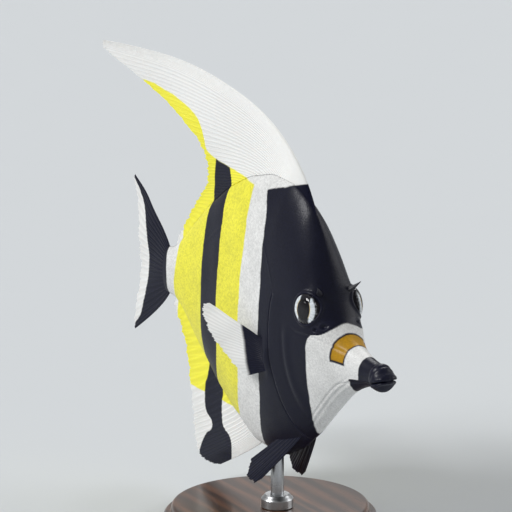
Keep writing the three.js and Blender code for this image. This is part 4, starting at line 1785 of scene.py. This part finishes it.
@dataclass(frozen=True)
class EyeFinish:
    """A fish's eye: an iris silvered by fine crystals, a dense clear lens and a thin wet cornea.

    To the eye the iris is bright and finely streaked, dark above, below and at its rim, with a gold ring
    round the pupil. The lens looks near-black, and the cornea adds one small sharp highlight. Places on the
    iris are shares of its radius.
    """

    iris: str = "#E6EAEC"
    streak: str = "#A4ADB5"
    gold: str = "#C8B27A"
    dark: str = "#17161B"
    lens_colour: str = "#0A080D"
    pupil: Point = (0.53, 0.64)
    gold_ring: Point = (1.13, 1.04)
    bar: float = 0.4
    bar_soft: Point = (-0.06, -0.2)
    bar_ragged: float = -0.3
    rim: Point = (0.93, 0.99)
    rim_ragged: float = 0.12
    streaks: float = 14.0
    blots: float = 5.0
    relief_mm: float = 0.1
    iris_roughness: float = 0.3
    lens_roughness: float = 0.08
    inner_shine: float = 0.12
    cornea_ior: float = 1.376

    def ball(self) -> Material:
        """The eyeball, painted by its own map, which runs from 0 to 1 across the ball.

        Returns:
            The material.
        """
        material, tree, shader = new_material("silver_iris")
        chart = node(tree, "UVMap", {"uv_map": "iris"}).outputs[0]
        settings = {"operation": "MULTIPLY_ADD"}
        centred = node(tree, "VectorMath", settings, {0: chart, 1: (2, 2, 0), 2: (-1, -1, 0)}).outputs[0]
        squash = (1 / self.pupil[0], 1 / self.pupil[1], 0)
        squashed = node(tree, "VectorMath", {"operation": "MULTIPLY"}, {0: centred, 1: squash}).outputs[0]
        from_pupil = node(tree, "VectorMath", {"operation": "LENGTH"}, {0: squashed}).outputs["Value"]
        from_middle = node(tree, "VectorMath", {"operation": "LENGTH"}, {0: centred}).outputs["Value"]
        unit = node(tree, "VectorMath", {"operation": "NORMALIZE"}, {0: centred}).outputs[0]
        grain = {"Vector": unit, "Scale": self.streaks, "Detail": 4.0}
        fibres = node(tree, "TexNoise", {}, grain).outputs["Fac"]
        grain = {"Vector": centred, "Scale": self.blots, "Detail": 3.0}
        blot = node(tree, "TexNoise", {}, grain).outputs["Fac"]
        streaky = {"Value": fibres, "From Min": 0.35, "From Max": 0.65}
        share = node(tree, "MapRange", {}, streaky).outputs[0]
        layers = {"Factor": share, MIX_UNDER: linear(self.streak), MIX_OVER: linear(self.iris)}
        painted = node(tree, "Mix", {"data_type": "RGBA"}, layers).outputs[MIX_COLOUR]
        aside = node(tree, "SeparateXYZ", {}, {0: centred}).outputs["X"]
        wide = node(tree, "Math", {"operation": "ABSOLUTE"}, {0: aside}).outputs[0]
        wavy = node(tree, "Math", settings, {0: blot, 1: self.bar_ragged, 2: wide}).outputs[0]
        rough = node(tree, "Math", settings, {0: blot, 1: self.rim_ragged, 2: from_middle}).outputs[0]
        bar_starts, bar_ends = (self.bar + step for step in self.bar_soft)
        for where, start, end, colour in (
            (from_pupil, *self.gold_ring, self.gold),
            (wavy, bar_starts, bar_ends, self.dark),
            (rough, *self.rim, self.dark),
        ):
            limits = {"Value": where, "From Min": start, "From Max": end}
            share = node(tree, "MapRange", {"interpolation_type": "SMOOTHSTEP"}, limits).outputs[0]
            layers = {"Factor": share, MIX_UNDER: painted, MIX_OVER: linear(colour)}
            painted = node(tree, "Mix", {"data_type": "RGBA"}, layers).outputs[MIX_COLOUR]
        feed(tree, shader, {
            "Base Color": painted,
            "Normal": bump(tree, fibres, self.relief_mm, 0.5),
            "Roughness": self.iris_roughness,
            "Specular IOR Level": self.inner_shine,
        })
        return material

    def lens(self) -> Material:
        """The dark, glossy lens.

        Returns:
            The material.
        """
        material, tree, shader = new_material("dark_lens")
        feed(tree, shader, {
            "Base Color": linear(self.lens_colour),
            "Roughness": self.lens_roughness,
            "Specular IOR Level": self.inner_shine,
        })
        return material

    def cornea(self) -> Material:
        """The clear cornea.

        Returns:
            The material.
        """
        material, tree, shader = new_material("clear_cornea")
        feed(tree, shader, {
            "Base Color": (1, 1, 1, 1),
            "Transmission Weight": 1.0,
            "Roughness": 0.0,
            "IOR": self.cornea_ior,
        })
        return material


@dataclass
class Eyes:
    """The two eyes, each a flat-fronted ball in its socket, with its lens and a clear cornea, in mm."""

    finish: EyeFinish = field(default_factory=EyeFinish)
    radius: float = 5.45
    iris_edge: float = -0.5
    iris_rise: float = 1.0
    wall: float = 2.2
    wall_from: float = 0.9
    back: float = 1.3
    lens_rise: float = 1.15
    lens_sunk: float = 0.3
    cornea_radius: float = 5.4
    cornea_bulge: float = 2.5
    cornea_sunk: float = 0.65

    def place(self, side: Side) -> Matrix:
        """Turns what is made round +Z, with +Y up, to sit in a side's socket.

        Args:
            side: the side of the fish.

        Returns:
            The turn and move, in metres.
        """
        centre, out = RELIEF.socket.axis()
        mirror = np.array([1, side.value, 1])
        centre, out = centre * mirror * MM, out * mirror
        forward = np.array([1.0, 0.0, 0.0]) * -side.value
        forward -= out * (forward @ out)
        forward /= np.linalg.norm(forward)
        up = np.cross(out, forward)
        turn = Matrix((forward, up, out)).transposed().to_4x4()
        return Matrix.Translation(Vector(centre)) @ turn

    def front(self, away: Array) -> Array:
        """How far out the eyeball's front stands at a share of its radius."""
        edge = self.wall * smoothstep(self.wall_from, 1.0, away)
        return self.iris_edge + self.iris_rise * (1 - away**2) - edge

    def sphere(self, name: str) -> Piece:
        """A unit sphere round +Z.

        Args:
            name: the piece's name.

        Returns:
            The piece.
        """
        deselect_all()
        bpy.ops.mesh.primitive_uv_sphere_add(segments=96, ring_count=64, radius=1)
        return take(name)

    def seat(
        self, piece: Piece, places: Array, side: Side, finish: Material, *nodes: str
    ) -> None:
        """Gives a piece of the eye its shape, and sets it in the socket.

        Args:
            piece: the piece.
            places: where its vertices go, round +Z, in mm.
            side: the side of the fish.
            finish: its finish.
            nodes: the solids that it stands for.
        """
        move_vertices(piece, places * MM)
        piece.data.transform(self.place(side))
        smooth_shade(piece, 60.0)
        dress(piece, finish, "eye", *nodes)

    def ball(self, side: Side, finish: Material) -> None:
        """One eyeball: a shallow iris in front, a short wall and a low back.

        Args:
            side: the side of the fish.
            finish: its finish.
        """
        piece = self.sphere(f"eyeball_{side.word}")
        start = vertices(piece)
        away = np.clip(np.hypot(start[:, 0], start[:, 1]), 0, 1)
        chart = piece.data.uv_layers.new(name="iris")
        chart.data.foreach_set("uv", (start[corner_vertices(piece), :2] / 2 + 0.5).ravel())
        low = self.front(np.ones(1))[0] + self.back * np.minimum(start[:, 2], 0)
        high = np.where(start[:, 2] > 1e-6, self.front(away), low)
        places = np.stack([start[:, 0] * self.radius, start[:, 1] * self.radius, high], axis=1)
        self.seat(piece, places, side, finish, f"eye_{side.word}")

    def lens(self, side: Side, finish: Material) -> None:
        """The lens that fills one pupil and stands out of it.

        Args:
            side: the side of the fish.
            finish: its finish.
        """
        piece = self.sphere(f"eye_lens_{side.word}")
        wide, tall = self.finish.pupil
        places = vertices(piece) * [wide * self.radius, tall * self.radius, self.lens_rise]
        places[:, 2] += self.iris_edge + self.iris_rise - self.lens_sunk
        self.seat(piece, places, side, finish)

    def cornea(self, side: Side, finish: Material) -> None:
        """The clear dome over one eyeball, which lets the light through to it.

        Args:
            side: the side of the fish.
            finish: its finish.
        """
        piece = self.sphere(f"cornea_{side.word}")
        places = vertices(piece) * [self.cornea_radius, self.cornea_radius, self.cornea_bulge]
        places[:, 2] -= self.cornea_sunk
        piece.visible_shadow = False
        self.seat(piece, places, side, finish)

    def build(self) -> None:
        """Makes both eyes."""
        ball, lens, cornea = self.finish.ball(), self.finish.lens(), self.finish.cornea()
        for side in Side:
            self.ball(side, ball)
            self.lens(side, lens)
            self.cornea(side, cornea)


@dataclass(frozen=True)
class HornFinish(GrainedFinish):
    """Dense bone grown under thin dark skin: a satin, near-black spine with fine grooves along it."""

    name: str = "dark_bone"
    colour: str = "#23242C"
    grain_mm: float = 0.5
    roughness: Point = (0.35, 0.5)
    detail: float = 4.0
    depth_mm: float = 0.08


@dataclass
class Horns:
    """The short horn before each eye, fluted at its foot and drooping a little at its tip, in mm."""

    finish: HornFinish = field(default_factory=HornFinish)
    radius: float = 1.5
    tip_radius: float = 0.1
    height: float = 7.6
    sunk: float = 2.2
    aim: tuple[float, float, float] = (0.74, 0.46, 0.5)
    droop: float = 0.9
    flutes: int = 7
    flute_depth: float = 0.07
    sides: int = 28
    cuts: int = 9

    def horn(self, side: Side, finish: Material) -> None:
        """One horn.

        Args:
            side: the side of the fish.
            finish: its finish.
        """
        deselect_all()
        bpy.ops.mesh.primitive_cone_add(
            vertices=self.sides, radius1=self.radius * MM, radius2=self.tip_radius * MM,
            depth=self.height * MM, location=(0, 0, (self.height / 2 - self.sunk) * MM),
        )
        piece = take(f"horn_spine_{side.word}")
        bpy.ops.object.transform_apply(location=True, rotation=True, scale=True)
        edit(piece, lambda: bpy.ops.mesh.subdivide(number_cuts=self.cuts), face_outwards)
        places = vertices(piece) / MM
        rise = np.clip(places[:, 2] / (self.height - self.sunk), 0, 1)
        angle = np.arctan2(places[:, 1], places[:, 0])
        places[:, :2] *= (1 + self.flute_depth * np.cos(self.flutes * angle) * (1 - rise))[:, None]
        places[:, 0] -= self.droop * rise**2
        move_vertices(piece, places * MM)
        out = Vector((self.aim[0], side.value * self.aim[1], self.aim[2])).normalized()
        behind, high = RELIEF.brow.place
        root = FORM.point(behind, side.value * FORM.flank(behind, high), high) * MM
        turn = Vector((0, 0, 1)).rotation_difference(out).to_matrix().to_4x4()
        piece.data.transform(Matrix.Translation(Vector(root)) @ turn)
        smooth_shade(piece, 50.0)
        dress(piece, finish, "horn", f"horn_{side.word}")

    def build(self) -> None:
        """Makes both horns."""
        finish = self.finish.build()
        for side in Side:
            self.horn(side, finish)


@dataclass(frozen=True)
class Walnut:
    """Walnut, turned and given a satin lacquer.

    To the eye it has brown growth rings drawn out along the board and fine dark pores, under a soft gloss.
    The drawn-out patterns are given as the share of their length that is left along the grain.
    """

    light: str = "#6B4630"
    dark: str = "#3A2417"
    ring_mm: float = 6.3335
    ring_share: float = 0.12
    ring_bend: float = 9.0
    ring_contrast: Point = (0.05, 0.6)
    cloud_mm: float = 18.0
    pore_mm: float = 0.6
    pore_share: float = 0.08
    pore_limits: Point = (0.36, 0.44)
    pore_dark: float = 0.62
    pore_depth_mm: float = 0.04
    roughness: float = 0.32
    lacquer: float = 0.5
    lacquer_roughness: float = 0.18

    def build(self) -> Material:
        """Makes the material.

        Returns:
            The material.
        """
        material, tree, shader = new_material("lacquered_walnut")
        place = node(tree, "TexCoord").outputs["Object"]
        long = node(tree, "Mapping", {}, {"Vector": place, "Scale": (self.ring_share, 1.0, 1.0)}).outputs[0]
        cloud = {"Vector": long, "Scale": repeats(self.cloud_mm), "Detail": 3.0}
        clouds = node(tree, "TexNoise", {}, cloud).outputs["Fac"]
        growth = {
            "Vector": long, "Scale": WAVE_LENGTH * repeats(self.ring_mm), "Distortion": self.ring_bend,
            "Detail": 3.0, "Detail Scale": 1.2,
        }
        rings = node(tree, "TexWave", {"bands_direction": "Y"}, growth).outputs["Fac"]
        streak = node(tree, "Math", {"operation": "MULTIPLY"}, {0: rings, 1: clouds}).outputs[0]
        least, most = self.ring_contrast
        limits = {"Value": streak, "From Min": least, "From Max": most}
        share = node(tree, "MapRange", {}, limits).outputs[0]
        layers = {"Factor": share, MIX_UNDER: linear(self.dark), MIX_OVER: linear(self.light)}
        brown = node(tree, "Mix", {"data_type": "RGBA"}, layers).outputs[MIX_COLOUR]
        fine = node(tree, "Mapping", {}, {"Vector": place, "Scale": (self.pore_share, 1.0, 1.0)}).outputs[0]
        grain = {"Vector": fine, "Scale": repeats(self.pore_mm), "Detail": 2.0}
        pores = node(tree, "TexNoise", {}, grain).outputs["Fac"]
        least, most = self.pore_limits
        limits = {"Value": pores, "From Min": least, "From Max": most, "To Min": self.pore_dark}
        hole = node(tree, "MapRange", {}, limits).outputs[0]
        feed(tree, shader, {
            "Base Color": shaded(tree, brown, hole),
            "Normal": bump(tree, hole, self.pore_depth_mm, 0.3),
            "Roughness": self.roughness,
            "Coat Weight": self.lacquer,
            "Coat Roughness": self.lacquer_roughness,
        })
        return material


@dataclass(frozen=True)
class BrushedSteel(GrainedFinish):
    """Stainless steel, turned and brushed round: fine rings that spread the highlight."""

    name: str = "brushed_stainless_steel"
    colour: str = "#B9BBBD"
    grain_mm: float = 0.18
    roughness: Point = (0.2, 0.42)
    drawn_out: tuple[float, float, float] = (0.02, 0.02, 1.0)
    detail: float = 2.0
    depth_mm: float = 0.01
    strength: float = 0.4
    metallic: float = 1.0


def arc(centre: Point, radius: float, start: float, end: float, steps: int) -> list[Point]:
    """The points of a round part of a profile, in steps from one angle to another in degrees."""
    angles = np.radians(np.linspace(start, end, steps + 1))
    return [(centre[0] + radius * math.cos(angle), centre[1] + radius * math.sin(angle)) for angle in angles]


@dataclass
class Stand:
    """The display stand: a turned base, and a rod in a collar that holds the belly, in mm.

    The base's edge is a bevelled bead with a cove and a rounded shoulder over it. The collar's top is turned
    in steps, each so far in from its side and so far down from its top.
    """

    wood: Walnut = field(default_factory=Walnut)
    steel: BrushedSteel = field(default_factory=BrushedSteel)
    radius: float = 37.0
    thickness: float = 6.0
    bevel: float = 0.5
    bead: float = 2.7
    bead_reach: float = 1.6
    cove: float = 0.9
    shoulder: float = 1.4
    rod_radius: float = 2.3
    rod_behind: float = 79.0
    rod_sunk: float = 1.6
    rod_bevel: float = 0.6
    collar_radius: float = 5.6
    collar_height: float = 4.5
    collar_bevel: float = 0.3
    collar_steps: tuple[Point, ...] = ((0, 1.6), (0.25, 1.2), (0.7, 0.9), (1.1, 0.25), (1.4, 0))
    gap: float = 0.3
    fit: float = 0.05
    base_sides: int = 144
    collar_sides: int = 96
    rod_sides: int = 64

    def turned(self, name: str, profile: list[Point], x: float, steps: int) -> Piece:
        """A piece turned on a lathe.

        Args:
            name: its name.
            profile: points of its radius and height, which start and end on the axis, or close on themselves.
            x: where its axis stands.
            steps: how many steps it is turned in.

        Returns:
            The new piece.
        """
        mesh = bpy.data.meshes.new(name)
        points = [((x + radius) * MM, 0.0, height * MM) for radius, height in profile]
        mesh.from_pydata(points, [(i, i + 1) for i in range(len(points) - 1)], [])
        piece = bpy.data.objects.new(name, mesh)
        bpy.context.scene.collection.objects.link(piece)
        edit(
            piece,
            lambda: bpy.ops.mesh.spin(
                steps=steps, angle=math.tau, center=(x * MM, 0, 0), axis=(0, 0, 1), use_auto_merge=False
            ),
            lambda: bpy.ops.mesh.select_all(action="SELECT"),
            lambda: bpy.ops.mesh.remove_doubles(threshold=0.01 * MM),
            face_outwards,
        )
        return piece

    def base(self, finish: Material) -> None:
        """The round base.

        Args:
            finish: its finish.
        """
        radius, top = self.radius, self.thickness
        edge = radius - self.bead_reach
        cove = arc((edge, self.bead + self.cove), self.cove, -90, -180, 6)
        shoulder = arc((edge - self.cove - self.shoulder, top - self.shoulder), self.shoulder, 0, 90, 8)
        bead = [
            (radius - self.bevel, 0), (radius, self.bevel), (radius, self.bead - self.bevel),
            (radius - self.bevel, self.bead),
        ]
        profile = [(0, 0), *bead, *cove, *shoulder, (0, top)]
        disc = self.turned("stand_disc", profile, 0, self.base_sides)
        smooth_shade(disc, 40.0)
        dress(disc, finish, "stand_wood", "stand_base")

    def collar(self, finish: Material, x: float, foot: float) -> None:
        """The stepped collar round the rod's foot.

        Args:
            finish: its finish.
            x: where its axis stands.
            foot: how high its underside is.
        """
        bore, outer = self.rod_radius + self.fit, self.collar_radius
        high = self.thickness + self.gap + self.collar_height
        steps = [(outer - inwards, high - down) for inwards, down in self.collar_steps]
        underside = [(bore, foot), (outer - self.collar_bevel, foot), (outer, foot + self.collar_bevel)]
        profile = [*underside, *steps, (bore, high), (bore, foot)]
        collar = self.turned("stand_ring", profile, x, self.collar_sides)
        smooth_shade(collar, 30.0)
        dress(collar, finish, "stand_steel", "stand_collar")

    def rod(self, finish: Material, x: float, foot: float) -> None:
        """The rod that reaches into the belly.

        Args:
            finish: its finish.
            x: where its axis stands.
            foot: how high its lower end is.
        """
        reach = FORM.level_z + float(FORM.belly(self.rod_behind)) + self.rod_sunk
        radius = self.rod_radius
        profile = [
            (0, foot), (radius, foot), (radius, reach - self.rod_bevel), (radius - self.rod_bevel, reach),
            (0, reach),
        ]
        rod = self.turned("stand_stem", profile, x, self.rod_sides)
        smooth_shade(rod, 30.0)
        dress(rod, finish, "stand_steel", "stand_rod")

    def build(self) -> None:
        """Makes the base, the collar and the rod."""
        wood, steel = self.wood.build(), self.steel.build()
        x, foot = FORM.snout_x - self.rod_behind, self.thickness + self.fit
        self.base(wood)
        self.collar(steel, x, foot)
        self.rod(steel, x, foot)


@dataclass(frozen=True)
class BackdropPaper(GrainedFinish):
    """Matt backdrop paper, as it comes off the roll: it scatters light evenly, with no shine of its own."""

    name: str = "pale_paper"
    colour: str = "#C3C7CA"
    grain_mm: float = 25.0
    roughness: Point = (0.82, 0.92)


@dataclass(frozen=True)
class Softbox:
    """A wide, soft light: where it shines from, how strong it is, and how many degrees wide it looks."""

    name: str
    place: tuple[float, float, float]
    strength: float
    width: float


@dataclass
class Studio:
    """The pale floor, the soft lights and the camera at the picture's angle, in mm and degrees.

    The sky brightens towards the horizon, to meet the floor's own brightness there. Only clip_end, which is
    how far the camera sees, is in metres.
    """

    paper: BackdropPaper = field(default_factory=BackdropPaper)
    turn: float = 29.1
    rise: float = 16.2
    seen: tuple[float, float, float] = (-10.2, 0.0, 92.9)
    pixels_per_mm: float = 2.88
    picture: int = 512
    lens: float = 1600.0
    sensor: float = 36.0
    clip_end: float = 100.0
    floor_radius: float = 30000.0
    sky: float = 0.3
    sky_from: float = 0.3
    horizon: float = 0.6
    lights: tuple[Softbox, ...] = (
        Softbox("key", (-450, -1800, 1650), 2.3, 24.0),
        Softbox("fill", (500, 1900, 800), 0.8, 40.0),
        Softbox("rim", (-1400, 900, 1700), 1.15, 30.0),
    )

    def camera(self) -> None:
        """Sets a long lens on the fish's right front, framed as the picture is."""
        turn, rise = math.radians(self.turn), math.radians(self.rise)
        away = Vector((math.cos(turn) * math.cos(rise), -math.sin(turn) * math.cos(rise), math.sin(rise)))
        distance = self.lens * self.picture / self.pixels_per_mm / self.sensor
        data = bpy.data.cameras.new("camera")
        data.lens, data.sensor_width = self.lens, self.sensor
        data.clip_end = self.clip_end
        camera = bpy.data.objects.new("camera", data)
        bpy.context.scene.collection.objects.link(camera)
        camera.location = (Vector(self.seen) + away * distance) * MM
        camera.rotation_euler = away.to_track_quat("Z", "Y").to_euler()
        bpy.context.scene.camera = camera

    def light(self, softbox: Softbox) -> None:
        """Sets up one soft light, which shines on the fish and evenly over the floor.

        Args:
            softbox: the light.
        """
        data = bpy.data.lights.new(softbox.name, "SUN")
        data.energy, data.angle = softbox.strength, math.radians(softbox.width)
        lamp = bpy.data.objects.new(softbox.name, data)
        bpy.context.scene.collection.objects.link(lamp)
        lamp.location = Vector(softbox.place) * MM
        lamp.rotation_euler = Vector(softbox.place).to_track_quat("Z", "Y").to_euler()

    def world(self) -> None:
        """Lights the room evenly from all around, a little more from low down."""
        world = bpy.data.worlds.new("studio")
        world.use_nodes = True
        tree = world.node_tree
        background = next(made for made in tree.nodes if made.type == "BACKGROUND")
        rise = node(tree, "SeparateXYZ", {}, {0: node(tree, "TexCoord").outputs["Generated"]}).outputs["Z"]
        fade_up = {"Value": rise, "From Max": self.sky_from, "To Min": self.horizon, "To Max": self.sky}
        strength = node(tree, "MapRange", {"interpolation_type": "SMOOTHSTEP"}, fade_up).outputs[0]
        feed(tree, background, {"Strength": strength, "Color": (1.0, 1.0, 1.0, 1.0)})
        bpy.context.scene.world = world

    def floor(self) -> None:
        """Lays the pale paper that the stand is on."""
        deselect_all()
        bpy.ops.mesh.primitive_circle_add(vertices=96, radius=self.floor_radius * MM, fill_type="NGON")
        floor = take("floor")
        floor.data.materials.append(self.paper.build())

    def build(self) -> None:
        """Makes the floor, the lights, the sky and the camera."""
        self.floor()
        self.world()
        for softbox in self.lights:
            self.light(softbox)
        self.camera()
        bpy.context.scene.view_settings.view_transform = "Standard"


def main() -> None:
    """Builds the fish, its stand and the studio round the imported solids."""
    logging.basicConfig(level=logging.INFO, format="%(name)s %(message)s")
    Studio().build()
    markings = Markings().build()
    Skin(ScaledSkin(markings, PlaceFrom.SURFACE).build()).build()
    ScaleCoat(ScaledSkin(markings, PlaceFrom.ROOT).build()).build()
    Fins(markings).build()
    Eyes().build()
    Horns().build()
    Stand().build()


if __name__ == "__main__":
    main()
